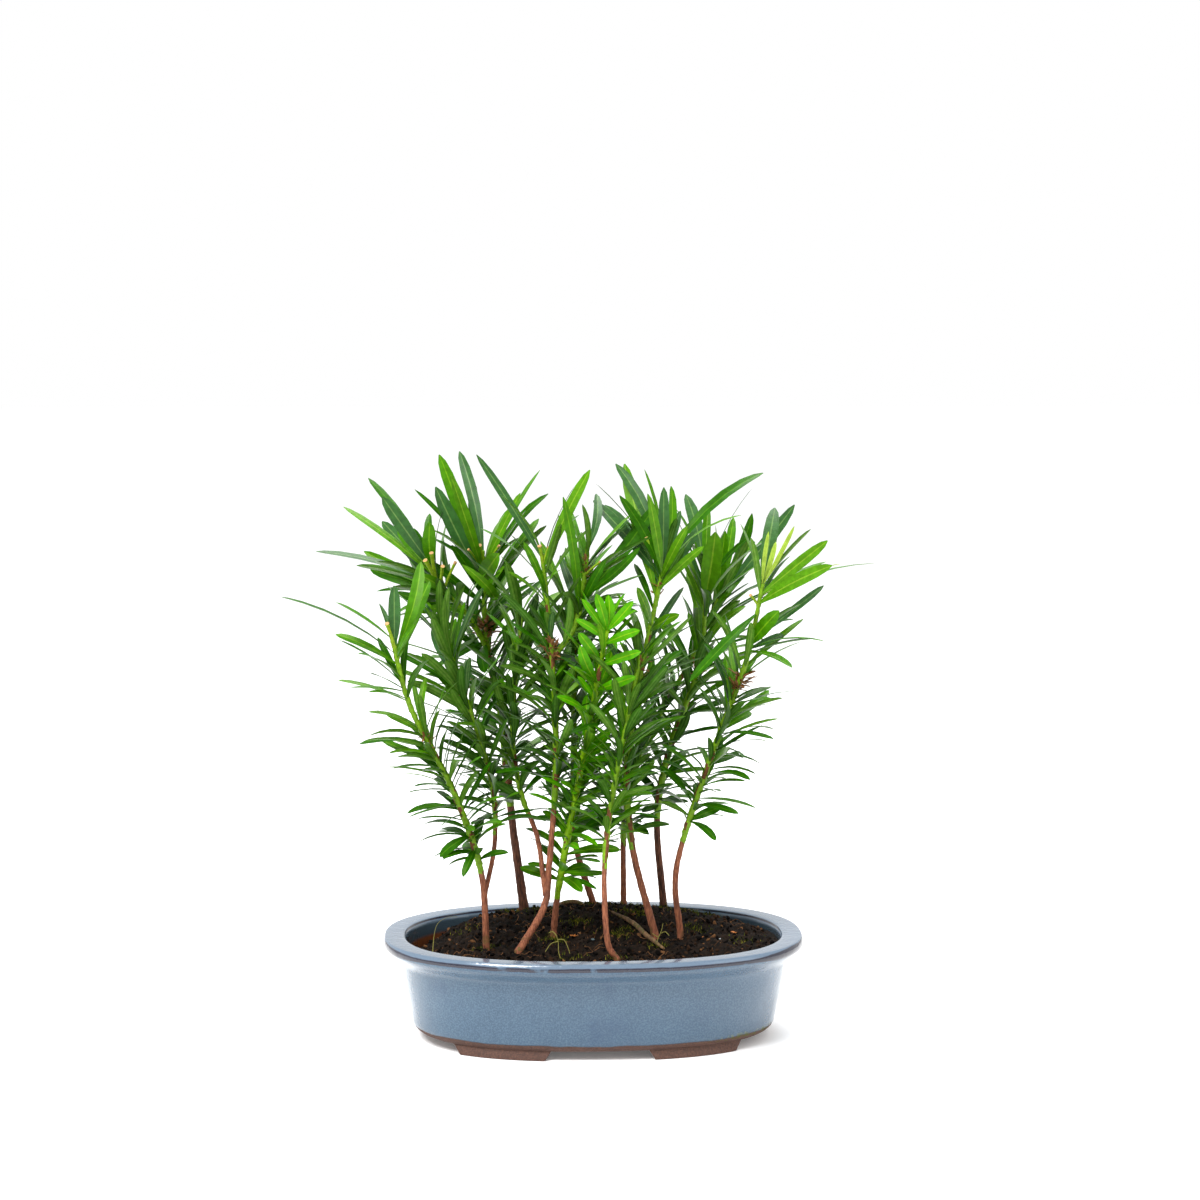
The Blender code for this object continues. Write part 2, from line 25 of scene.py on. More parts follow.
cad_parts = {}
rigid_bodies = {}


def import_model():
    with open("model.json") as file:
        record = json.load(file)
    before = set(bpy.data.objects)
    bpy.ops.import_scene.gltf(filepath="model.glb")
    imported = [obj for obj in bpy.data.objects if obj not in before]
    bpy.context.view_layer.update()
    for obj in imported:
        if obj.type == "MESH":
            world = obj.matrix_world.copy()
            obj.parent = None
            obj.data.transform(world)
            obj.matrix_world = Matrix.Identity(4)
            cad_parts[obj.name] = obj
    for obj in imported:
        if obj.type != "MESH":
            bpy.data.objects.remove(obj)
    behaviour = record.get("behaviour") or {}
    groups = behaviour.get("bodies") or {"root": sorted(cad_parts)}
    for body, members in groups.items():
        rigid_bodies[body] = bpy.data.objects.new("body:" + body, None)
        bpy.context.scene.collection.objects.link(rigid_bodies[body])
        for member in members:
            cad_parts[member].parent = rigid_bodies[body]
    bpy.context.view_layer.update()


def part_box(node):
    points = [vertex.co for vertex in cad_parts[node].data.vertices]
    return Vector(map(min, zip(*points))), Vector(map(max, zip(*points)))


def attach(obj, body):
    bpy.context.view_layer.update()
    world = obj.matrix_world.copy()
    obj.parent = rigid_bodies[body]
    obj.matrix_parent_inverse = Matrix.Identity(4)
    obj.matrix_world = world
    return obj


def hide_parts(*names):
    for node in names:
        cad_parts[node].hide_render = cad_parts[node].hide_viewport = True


LOG = logging.getLogger("bonsai")
MM = 0.001
SEED = 11
BODY = "root"

Rgb = tuple[float, float, float]
Ring = Sequence[tuple[float, float, float]]
Run = tuple[Sequence[Vector], Sequence[float]]


# Shader maths


def paint(red: float, green: float, blue: float) -> Rgb:
    """A colour read from 0 to 255 on a screen, as the linear values that shaders use.

    Args:
        red, green, blue: the screen's values.

    Returns:
        The same colour in linear light, from 0 to 1.
    """
    def linear(value: float) -> float:
        """One channel in linear light."""
        share = value / 255
        return share / 12.92 if share <= 0.04045 else ((share + 0.055) / 1.055) ** 2.4

    return linear(red), linear(green), linear(blue)


class Signal:
    """A shader socket holding a number, which takes part in Python sums."""

    def __init__(self, nodes: Nodes, socket: bpy.types.NodeSocket) -> None:
        """Wrap a socket of one material's nodes."""
        self.nodes = nodes
        self.socket = socket

    def sum(self, operation: str, first: Signal | float, second: Signal | float = 0.0) -> Signal:
        """Add one Math node.

        Args:
            operation: the Math node's operation.
            first, second: its values or links.

        Returns:
            The node's result.
        """
        return self.nodes.add("ShaderNodeMath", {"operation": operation}, {0: first, 1: second})

    def __add__(self, other: Signal | float) -> Signal:
        """This plus another."""
        return self.sum("ADD", self, other)

    def __radd__(self, other: float) -> Signal:
        """A number plus this."""
        return self.sum("ADD", other, self)

    def __sub__(self, other: Signal | float) -> Signal:
        """This less another."""
        return self.sum("SUBTRACT", self, other)

    def __rsub__(self, other: float) -> Signal:
        """A number less this."""
        return self.sum("SUBTRACT", other, self)

    def __mul__(self, other: Signal | float) -> Signal:
        """This times another."""
        return self.sum("MULTIPLY", self, other)

    def __rmul__(self, other: float) -> Signal:
        """A number times this."""
        return self.sum("MULTIPLY", other, self)

    def __abs__(self) -> Signal:
        """This without its sign."""
        return self.sum("ABSOLUTE", self)

    def rise(self, low: float, high: float) -> Signal:
        """A smooth step from 0 at one value to 1 at another.

        Args:
            low: where the step starts.
            high: where it ends; below low, the step falls.

        Returns:
            The step, from 0 to 1.
        """
        if high < low:
            return 1.0 - self.rise(high, low)
        return self.nodes.add("ShaderNodeMapRange", {"interpolation_type": "SMOOTHSTEP"},
                              {"Value": self, "From Min": low, "From Max": high})

    def band(self, centre: float, half: float) -> Signal:
        """A soft band that is 1 at a value and 0 beyond a distance from it."""
        return abs(self - centre).rise(half, half * 0.35)


class Nodes:
    """One material's shader nodes, all made by the add method."""

    def __init__(self, name: str) -> None:
        """Start a material with its Principled shader."""
        self.material = bpy.data.materials.new(name)
        self.material.use_nodes = True
        self.tree = self.material.node_tree
        self.shader = self.tree.nodes["Principled BSDF"]

    def add(self, kind: str, settings: dict[str, object] | None = None,
            inputs: dict[str | int, object] | None = None, output: str | int = 0) -> Signal:
        """Add a node, set its options first and then its inputs.

        Args:
            kind: the node's type.
            settings: the node's own options, by name.
            inputs: values or signals, by the socket's name or number.
            output: which of its outputs to return.

        Returns:
            The chosen output.
        """
        node = self.tree.nodes.new(kind)
        for name, value in (settings or {}).items():
            setattr(node, name, value)
        for name, value in (inputs or {}).items():
            self.feed(node.inputs[name], value)
        return Signal(self, node.outputs[output])

    def feed(self, socket: bpy.types.NodeSocket, value: object) -> None:
        """Link a signal to a socket, or set the socket's value."""
        if isinstance(value, Signal):
            self.tree.links.new(value.socket, socket)
        elif isinstance(value, tuple) and socket.type == "RGBA":
            socket.default_value = (*value, 1.0)
        else:
            socket.default_value = value

    def place(self, scale: Rgb = (1.0, 1.0, 1.0)) -> Signal:
        """The point on the object in millimetres, stretched by a scale."""
        point = self.add("ShaderNodeTexCoord", output="Object")
        factors = tuple(value / MM for value in scale)
        return self.add("ShaderNodeMapping", {}, {"Vector": point, "Scale": factors})

    def axis(self, name: str) -> Signal:
        """One coordinate of the point in millimetres."""
        return self.add("ShaderNodeSeparateXYZ", {}, {"Vector": self.place()}, name)

    def noise(self, size: float, detail: float = 3.0, scale: Rgb = (1.0, 1.0, 1.0)) -> Signal:
        """Soft noise from 0 to 1.

        Args:
            size: how many millimetres across its features are.
            detail: how many finer layers it has.
            scale: how it is squeezed along each axis.

        Returns:
            The noise.
        """
        return self.add("ShaderNodeTexNoise", {},
                        {"Vector": self.place(scale), "Scale": 1 / size, "Detail": detail})

    def blend(self, share: Signal | float, first: object, second: object) -> Signal:
        """Mix two colours.

        Args:
            share: how much of the second shows.
            first, second: colours or signals.

        Returns:
            The mixed colour.
        """
        return self.add("ShaderNodeMix", {"data_type": "RGBA"}, {0: share, 6: first, 7: second}, 2)

    def bump(self, height: Signal, depth: float, under: Signal | None = None) -> Signal:
        """Relief that reads as a depth in millimetres, laid over another relief if given."""
        inputs: dict[str | int, object] = {"Height": height, "Distance": depth * MM}
        if under is not None:
            inputs["Normal"] = under
        return self.add("ShaderNodeBump", {}, inputs)

    def finish(self, sockets: dict[str, object]) -> bpy.types.Material:
        """Feed the Principled shader's sockets, by name, and return the material."""
        for name, value in sockets.items():
            self.feed(self.shader.inputs[name], value)
        return self.material


# Finishes


@dataclass(frozen=True)
class LeafFinish:
    """A waxy leaf surface of one colour with a faint mottle and a fine bumpy grain."""

    name: str
    colour: Rgb
    rough: float = 0.27
    mottle: float = 0.16
    gloss: float = 0.17
    sheen: Rgb = (0.85, 1.0, 0.45)

    def material(self) -> bpy.types.Material:
        """The leaf surface as a material."""
        nodes = Nodes(self.name)
        light = tuple(min(1.0, value * (1 + self.mottle)) for value in self.colour)
        dark = tuple(value * (1 - self.mottle) for value in self.colour)
        cloud = nodes.noise(3.0, 2.0)
        colour = nodes.blend(cloud.rise(0.3, 0.7), dark, light)
        relief = nodes.bump(nodes.noise(0.5, 2.0), 0.05)
        return nodes.finish({"Base Color": colour, "Roughness": self.rough + 0.14 * cloud,
                             "Normal": relief, "Specular IOR Level": self.gloss,
                             "Specular Tint": self.sheen})


@dataclass(frozen=True)
class BarkFinish:
    """Young bark with fine lengthwise fibres, darker flecks and greener moss near the soil."""

    name: str
    light: Rgb
    dark: Rgb
    fleck: Rgb
    rough: float = 0.7
    moss: Rgb = paint(66, 70, 20)
    moss_top: float = 66.0

    def material(self) -> bpy.types.Material:
        """The bark as a material."""
        nodes = Nodes(self.name)
        fibre = nodes.noise(0.7, 4.0, (1.0, 1.0, 0.16))
        patch = nodes.noise(5.0, 2.0, (1.0, 1.0, 0.4))
        colour = nodes.blend(fibre.rise(0.32, 0.68), self.dark, self.light)
        colour = nodes.blend(patch.rise(0.5, 0.78) * 0.7, colour, self.fleck)
        scar = nodes.noise(1.1, 1.0, (1.0, 1.0, 1.9)).rise(0.66, 0.74)
        colour = nodes.blend(scar * 0.6, colour, self.fleck)
        low = nodes.axis("Z").rise(self.moss_top, self.moss_top - 14)
        green = low * nodes.noise(3.0).rise(0.5, 0.62)
        colour = nodes.blend(green * 0.65, colour, self.moss)
        relief = nodes.bump(fibre + scar * 0.6, 0.35)
        return nodes.finish({"Base Color": colour, "Roughness": self.rough + 0.12 * fibre,
                             "Normal": relief, "Specular IOR Level": 0.3})


@dataclass(frozen=True)
class SoilFinish:
    """Crumbly matter, such as peat or moss, in two tones."""

    name: str
    dark: Rgb
    light: Rgb
    grain: float = 1.6
    rough: float = 0.88

    def material(self) -> bpy.types.Material:
        """The crumbly matter as a material."""
        nodes = Nodes(self.name)
        coarse, fine = nodes.noise(self.grain * 4, 4.0), nodes.noise(self.grain, 5.0)
        tone = (0.55 * coarse + 0.45 * fine).rise(0.36, 0.66)
        relief = nodes.bump(fine, 0.8)
        return nodes.finish({"Base Color": nodes.blend(tone, self.dark, self.light),
                             "Roughness": self.rough, "Normal": relief, "Specular IOR Level": 0.12})


@dataclass(frozen=True)
class GlazeFinish:
    """Blue-grey speckled glaze that thins to brown on the lip's edges and ends on bare clay.

    The edges are distances in millimetres up and over the pot's section, which the mesh keeps in
    its UV map, and the line is the height where the glaze ends.
    """

    outer_edge: float
    inner_edge: float
    line: float = 8.5
    blue: Rgb = paint(48, 71, 92)
    pale: Rgb = paint(80, 105, 124)
    deep: Rgb = paint(40, 62, 90)
    lip: Rgb = paint(100, 115, 132)
    thin: Rgb = paint(24, 17, 33)
    inside: Rgb = paint(38, 52, 59)
    clay: Rgb = paint(88, 58, 46)
    clay_dark: Rgb = paint(62, 40, 31)
    raw: Rgb = paint(100, 55, 28)
    algae: Rgb = paint(79, 88, 38)
    stain_at: float = 84.0

    def glazed(self, nodes: Nodes, along: Signal) -> Signal:
        """The glaze's own colour.

        Args:
            nodes: the material's nodes.
            along: the distance up and over the section.

        Returns:
            The colour with its speckle, blotches, streaks, thin edges and a painted highlight that makes
            the left end paler.
        """
        speck = nodes.noise(0.8, 3.0).rise(0.38, 0.66)
        # Painted highlight: the glaze turns paler towards the left end, as if lit from the left.
        left = nodes.axis("X").rise(-30, -112)
        cloud = nodes.noise(26.0, 3.0)
        streak = nodes.noise(9.0, 2.0, (1.0, 1.0, 0.2))
        colour = nodes.blend(speck * 0.42 + 0.2 * streak + 0.2 * left, self.blue, self.pale)
        colour = nodes.blend(cloud.rise(0.54, 0.76) * 0.4, colour, self.deep)
        fine = nodes.noise(0.5, 2.0).rise(0.6, 0.7)
        colour = nodes.blend(fine * 0.3, colour, self.deep)
        wander = (nodes.noise(14.0, 3.0) - 0.5) * 1.6
        top = (along + wander * 0.5).rise(self.outer_edge, self.outer_edge + 0.8)
        colour = nodes.blend(top * 0.6, colour, self.lip)
        patch = nodes.noise(12.0, 4.0)
        ends = abs(nodes.axis("X")).rise(84, 112)
        edge = (along + wander * 0.8 - self.outer_edge) * (1.0 - 0.62 * ends)
        lines = (edge.band(-0.3, 1.5) * (patch.rise(0.25, 0.42) + ends)
                 + along.band(self.inner_edge, 0.8) * nodes.axis("Y").rise(-20, 10) * 0.9)
        colour = nodes.blend(lines.rise(0.0, 0.9) * 0.92, colour, self.thin)
        within = along.rise(self.inner_edge + 0.6, self.inner_edge + 3.0)
        colour = nodes.blend(within * 0.8, colour, self.inside)
        low_left = nodes.axis("X").rise(-52, -78) * nodes.axis("Z").rise(47.5, 45)
        colour = nodes.blend(within * low_left, colour, self.raw)
        hole = nodes.add("ShaderNodeTexVoronoi", {}, {"Vector": nodes.place(), "Scale": 1 / 22})
        return nodes.blend(hole.rise(0.024, 0.012), colour, paint(24, 20, 24))

    def material(self) -> bpy.types.Material:
        """The glaze and clay as one material."""
        nodes = Nodes("glaze")
        uv = nodes.add("ShaderNodeUVMap", {"uv_map": "section"})
        along = nodes.add("ShaderNodeSeparateXYZ", {}, {"Vector": uv}, "Y") * 100
        height = nodes.axis("Z")
        edge = height + (nodes.noise(20.0, 3.0) - 0.5) * 2.2
        outside = along.rise(self.inner_edge + 2, self.inner_edge)
        bare = edge.rise(self.line + 0.35, self.line - 0.35) * outside
        grit = nodes.noise(0.9, 5.0)
        clay = nodes.blend(grit.rise(0.3, 0.7), self.clay_dark, self.clay)
        clay = nodes.blend(nodes.noise(8.0).rise(0.52, 0.7) * 0.5, clay, self.clay_dark)
        right = nodes.axis("X").rise(self.stain_at - 26, self.stain_at)
        near = abs(edge - self.line).rise(2.4, 0.4) * right
        stain = near * nodes.noise(3.0, 4.0).rise(0.42, 0.6) * nodes.axis("Y").rise(0, -10)
        colour = nodes.blend(bare, self.glazed(nodes, along), clay)
        colour = nodes.blend(stain * 0.75, colour, self.algae)
        step = nodes.bump(1.0 - bare, 0.35)
        wave = nodes.bump(nodes.noise(9.0, 2.0) * (1.0 - bare), 0.22, step)
        peel = nodes.bump(nodes.noise(2.2, 2.0) * (1.0 - bare) + grit * bare * 0.9, 0.14, wave)
        rough = 0.1 + bare * 0.62 + nodes.noise(6.0, 3.0) * 0.08 + stain * 0.4
        return nodes.finish({"Base Color": colour, "Roughness": rough, "Normal": peel,
                             "Coat Weight": 0.2 * (1.0 - bare)})


@dataclass(frozen=True)
class PlainFinish:
    """A small thing's colour with a soft mottle: litter, cut wood, straw or the studio floor."""

    name: str
    colour: Rgb
    rough: float = 0.7
    mottle: float = 0.2
    size: float = 1.2
    gloss: float = 0.2
    glow: float = 0.0

    def material(self) -> bpy.types.Material:
        """The finish as a material."""
        nodes = Nodes(self.name)
        cloud = nodes.noise(self.size, 3.0)
        dark = tuple(value * (1 - self.mottle) for value in self.colour)
        return nodes.finish({"Base Color": nodes.blend(cloud.rise(0.35, 0.65), dark, self.colour),
                             "Roughness": self.rough, "Normal": nodes.bump(cloud, 0.1),
                             "Specular IOR Level": self.gloss, "Emission Color": (1.0, 1.0, 1.0),
                             "Emission Strength": self.glow})


class Tint(Enum):
    """Leaf colours as the blade, its rib, the underside and the pale band beside its rib."""

    DEEP = (paint(33, 82, 2), paint(58, 103, 9), paint(42, 80, 16), paint(62, 98, 33))
    MID = (paint(53, 105, 2), paint(85, 129, 12), paint(55, 94, 19), paint(77, 112, 36))
    FRESH = (paint(67, 116, 8), paint(102, 138, 30), paint(62, 104, 26), paint(86, 121, 44))
    PALE = (paint(132, 156, 56), paint(112, 146, 30), paint(142, 160, 76), paint(148, 164, 92))
    TEAL = (paint(42, 82, 32), paint(81, 112, 54), paint(46, 84, 36), paint(79, 109, 58))
    BRIGHT = (paint(63, 131, 1), paint(107, 148, 17), paint(64, 115, 9), paint(91, 132, 28))
    DRY = (paint(124, 82, 46), paint(96, 60, 36), paint(140, 98, 62), paint(120, 86, 56))

    def materials(self) -> list[bpy.types.Material]:
        """The four materials of this tint."""
        parts = ("blade", "rib", "underside", "band")
        gloss = 0.1 if self in (Tint.DEEP, Tint.DRY) else 0.17
        sheen = (1.0, 1.0, 1.0) if self is Tint.TEAL else (0.85, 1.0, 0.45)
        return [shared(f"leaf_{self.name.lower()}_{part}",
                       lambda name, c=colour: LeafFinish(name, c, gloss=gloss, sheen=sheen))
                for part, colour in zip(parts, self.value)]


def shared(name: str, make: Callable[[str], object]) -> bpy.types.Material:
    """A material by name, made from its finish the first time.

    Args:
        name: the material's name.
        make: makes the finish for that name.

    Returns:
        The material.
    """
    return bpy.data.materials.get(name) or make(name).material()


# Mesh helpers


def start() -> None:
    """Leave edit mode and deselect everything, before an operator runs."""
    if bpy.context.object and bpy.context.object.mode != "OBJECT":
        bpy.ops.object.mode_set(mode="OBJECT")
    bpy.ops.object.select_all(action="DESELECT")


def take(name: str) -> bpy.types.Object:
    """Name the object that an operator has just made, and return it."""
    obj = bpy.context.object
    obj.name = obj.data.name = name
    return obj


def apply_modifiers(obj: bpy.types.Object) -> None:
    """Apply every modifier on an object, in order."""
    start()
    obj.select_set(True)
    bpy.context.view_layer.objects.active = obj
    for step in list(obj.modifiers):
        bpy.ops.object.modifier_apply(modifier=step.name)


def combine(obj: bpy.types.Object, other: bpy.types.Object, operation: str) -> None:
    """Join another object to this one, or cut it away, and remove it."""
    step = obj.modifiers.new("combine", "BOOLEAN")
    step.operation, step.object, step.solver = operation, other, "EXACT"
    apply_modifiers(obj)
    bpy.data.objects.remove(other, do_unlink=True)


def fuse(objects: Sequence[bpy.types.Object], name: str) -> bpy.types.Object:
    """Join several objects into one mesh."""
    start()
    for obj in objects:
        obj.select_set(True)
    bpy.context.view_layer.objects.active = objects[0]
    if len(objects) > 1:
        bpy.ops.object.join()
    return take(name)


def smooth(obj: bpy.types.Object, angle: float = 40.0) -> None:
    """Shade an object smooth, but for edges sharper than an angle in degrees."""
    obj.data.shade_smooth()
    obj.data.set_sharp_from_angle(angle=math.radians(angle))


def dress(obj: bpy.types.Object, *materials: bpy.types.Material) -> None:
    """Give an object its materials, in the order of its faces' numbers."""
    for material in materials:
        obj.data.materials.append(material)


def hand_over(obj: bpy.types.Object, slot: str, *nodes: str) -> None:
    """Make a finished piece part of the frame.

    Args:
        obj: the piece.
        slot: not used.
        nodes: the frame's nodes that it stands for.
    """
    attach(obj, BODY)
    if nodes:
        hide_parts(*nodes)
    LOG.info("%s: %d faces, for %s", obj.name, len(obj.data.polygons), ", ".join(nodes) or "itself")


def mesh_arrays(obj: bpy.types.Object) -> tuple[np.ndarray, np.ndarray]:
    """A small model's points and its faces, all triangles, as arrays, after which it is removed."""
    modifier = obj.modifiers.new("triangles", "TRIANGULATE")
    modifier.quad_method = "FIXED"
    apply_modifiers(obj)
    points = np.empty(len(obj.data.vertices) * 3)
    obj.data.vertices.foreach_get("co", points)
    faces = np.array([tuple(face.vertices) for face in obj.data.polygons])
    bpy.data.objects.remove(obj, do_unlink=True)
    return points.reshape(-1, 3), faces


def from_arrays(name: str, points: np.ndarray, faces: np.ndarray,
                zones: np.ndarray | None = None) -> bpy.types.Object:
    """Join many copies of a small model into one mesh.

    Args:
        name: the object's name.
        points: one row of points for each copy, in metres.
        faces: the model's faces, as numbers of its points.
        zones: the material number of each face of each copy.

    Returns:
        The object.
    """
    count, each = points.shape[:2]
    whole = (faces[None] + np.arange(count)[:, None, None] * each).reshape(-1, faces.shape[1])
    mesh = bpy.data.meshes.new(name)
    mesh.from_pydata(points.reshape(-1, 3), [], whole)
    if zones is not None:
        mesh.polygons.foreach_set("material_index", zones.reshape(-1).astype(np.int32))
    obj = bpy.data.objects.new(name, mesh)
    bpy.context.scene.collection.objects.link(obj)
    return obj


@dataclass(frozen=True)
class Site:
    """Where the pot's middle stands in the frame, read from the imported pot."""

    x: float
    y: float

    @classmethod
    def read(cls) -> Site:
        """The middle of the frame's pot, in metres."""
        low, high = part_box("pot")
        return cls((low[0] + high[0]) / 2, (low[1] + high[1]) / 2)

    def point(self, place: Sequence[float]) -> Vector:
        """A place in millimetres from the pot's middle, as a point of the frame in metres."""
        return Vector((place[0] * MM + self.x, place[1] * MM + self.y, place[2] * MM))

    def points(self, places: np.ndarray) -> np.ndarray:
        """Many places as points of the frame."""
        return places * MM + np.array((self.x, self.y, 0.0))


def smooth_run(run: Sequence[tuple[float, float, float]], step: float) -> list[Vector]:
    """Points along a smooth line.

    Args:
        run: the line's own points as height, x and y.
        step: about how far apart the new points are.

    Returns:
        The points, as x, y and height.
    """
    knots = [Vector((x, y, z)) for z, x, y in run]
    knots = [2 * knots[0] - knots[1]] + knots + [2 * knots[-1] - knots[-2]]
    points = []
    for k in range(1, len(knots) - 2):
        a, b, c, d = knots[k - 1:k + 3]
        pieces = max(1, round((c - b).length / step))
        for j in range(pieces):
            t = j / pieces
            points.append(0.5 * (2 * b + (c - a) * t + (2 * a - 5 * b + 4 * c - d) * t * t
                                 + (3 * b - a - 3 * c + d) * t ** 3))
    points.append(knots[-2])
    return points


def frames(points: Sequence[Vector]) -> list[tuple[Vector, Vector, Vector, Vector]]:
    """Each point of a line with its direction and two sideways axes that don't twist."""
    side, out = Vector((1, 0, 0)), []
    for k, point in enumerate(points):
        ahead = (points[min(k + 1, len(points) - 1)] - points[max(k - 1, 0)]).normalized()
        side = (side - ahead * side.dot(ahead)).normalized()
        out.append((point, ahead, side, ahead.cross(side)))
    return out


def tubes(name: str, site: Site, runs: Sequence[Run], rounds: int) -> bpy.types.Object:
    """Round tubes drawn as one bevelled curve and turned into a mesh.

    Args:
        name: the object's name.
        site: where the places are measured from.
        runs: each tube's points and radii, in millimetres.
        rounds: the bevel's resolution; a tube has 4 sides and 2 more for each.

    Returns:
        The mesh object.
    """
    start()
    bpy.ops.curve.primitive_bezier_curve_add()
    obj = take(name)
    curve = obj.data
    curve.splines.clear()
    curve.dimensions = "3D"
    curve.bevel_depth, curve.bevel_resolution, curve.use_fill_caps = 1.0, rounds, True
    for points, radii in runs:
        spline = curve.splines.new("POLY")
        spline.points.add(len(points) - 1)
        for dot, point, radius in zip(spline.points, points, radii):
            dot.co = (*site.point(point), 1.0)
            dot.radius = radius * MM
    bpy.ops.object.convert(target="MESH")
    return take(name)


def roughen(obj: bpy.types.Object, height: Callable[[Vector], float]) -> None:
    """Push each point of a mesh out along its normal.

    Args:
        obj: the mesh object.
        height: gives millimetres for a place in millimetres.
    """
    moves = [vertex.normal * height(vertex.co / MM) * MM for vertex in obj.data.vertices]
    for vertex, move in zip(obj.data.vertices, moves):
        vertex.co += move


def ring_shell(name: str, rings: Sequence[Ring]) -> bpy.types.Object:
    """A closed shell made by extruding one face from ring to ring.

    Args:
        name: the object's name.
        rings: rings of equal count, each a list of points in metres.

    Returns:
        The object, with its first and last ring filled.
    """
    start()
    bpy.ops.mesh.primitive_circle_add(vertices=len(rings[0]), radius=1.0, fill_type="NGON")
    obj = take(name)
    bpy.ops.object.mode_set(mode="EDIT")
    bpy.ops.mesh.select_all(action="SELECT")
    for _ in rings[1:]:
        bpy.ops.mesh.extrude_region()
    bpy.ops.object.mode_set(mode="OBJECT")
    obj.data.vertices.foreach_set("co", np.array(rings, dtype=np.float32).reshape(-1))
    face_outwards(obj)
    return obj


def face_outwards(obj: bpy.types.Object) -> None:
    """Turn a closed mesh's faces outwards."""
    start()
    bpy.context.view_layer.objects.active = obj
    bpy.ops.object.mode_set(mode="EDIT")
    bpy.ops.mesh.select_all(action="SELECT")
    bpy.ops.mesh.normals_make_consistent(inside=False)
    bpy.ops.object.mode_set(mode="OBJECT")


# Pot


@dataclass(frozen=True)
class Oval:
    """The pot's outline, an oval a little squarer than an ellipse."""

    length: float = 230.0
    width: float = 172.5
    power: float = 2.34

    def ring(self, inset: float, height: float, sides: int) -> list[tuple[float, float, float]]:
        """The outline moved in by a distance, at a height, as points."""
        long, wide = self.length / 2 - inset, self.width / 2 - inset
        points = []
        for k in range(sides):
            c, s = math.cos(math.tau * k / sides), math.sin(math.tau * k / sides)
            points.append((math.copysign(abs(c) ** (2 / self.power), c) * long,
                           math.copysign(abs(s) ** (2 / self.power), s) * wide, height))
        return points

    def depth(self, x: float, inset: float) -> float:
        """How far the inset outline is from the long middle line at a given x."""
        long, wide = self.length / 2 - inset, self.width / 2 - inset
        return wide * (1 - min(1.0, abs(x) / long) ** self.power) ** (1 / self.power)

    def share(self, x: float, y: float, inset: float) -> float:
        """How far out a place is, from 0 in the middle to 1 on the inset outline."""
        long, wide = self.length / 2 - inset, self.width / 2 - inset
        return ((abs(x) / long) ** self.power + (abs(y) / wide) ** self.power) ** (1 / self.power)


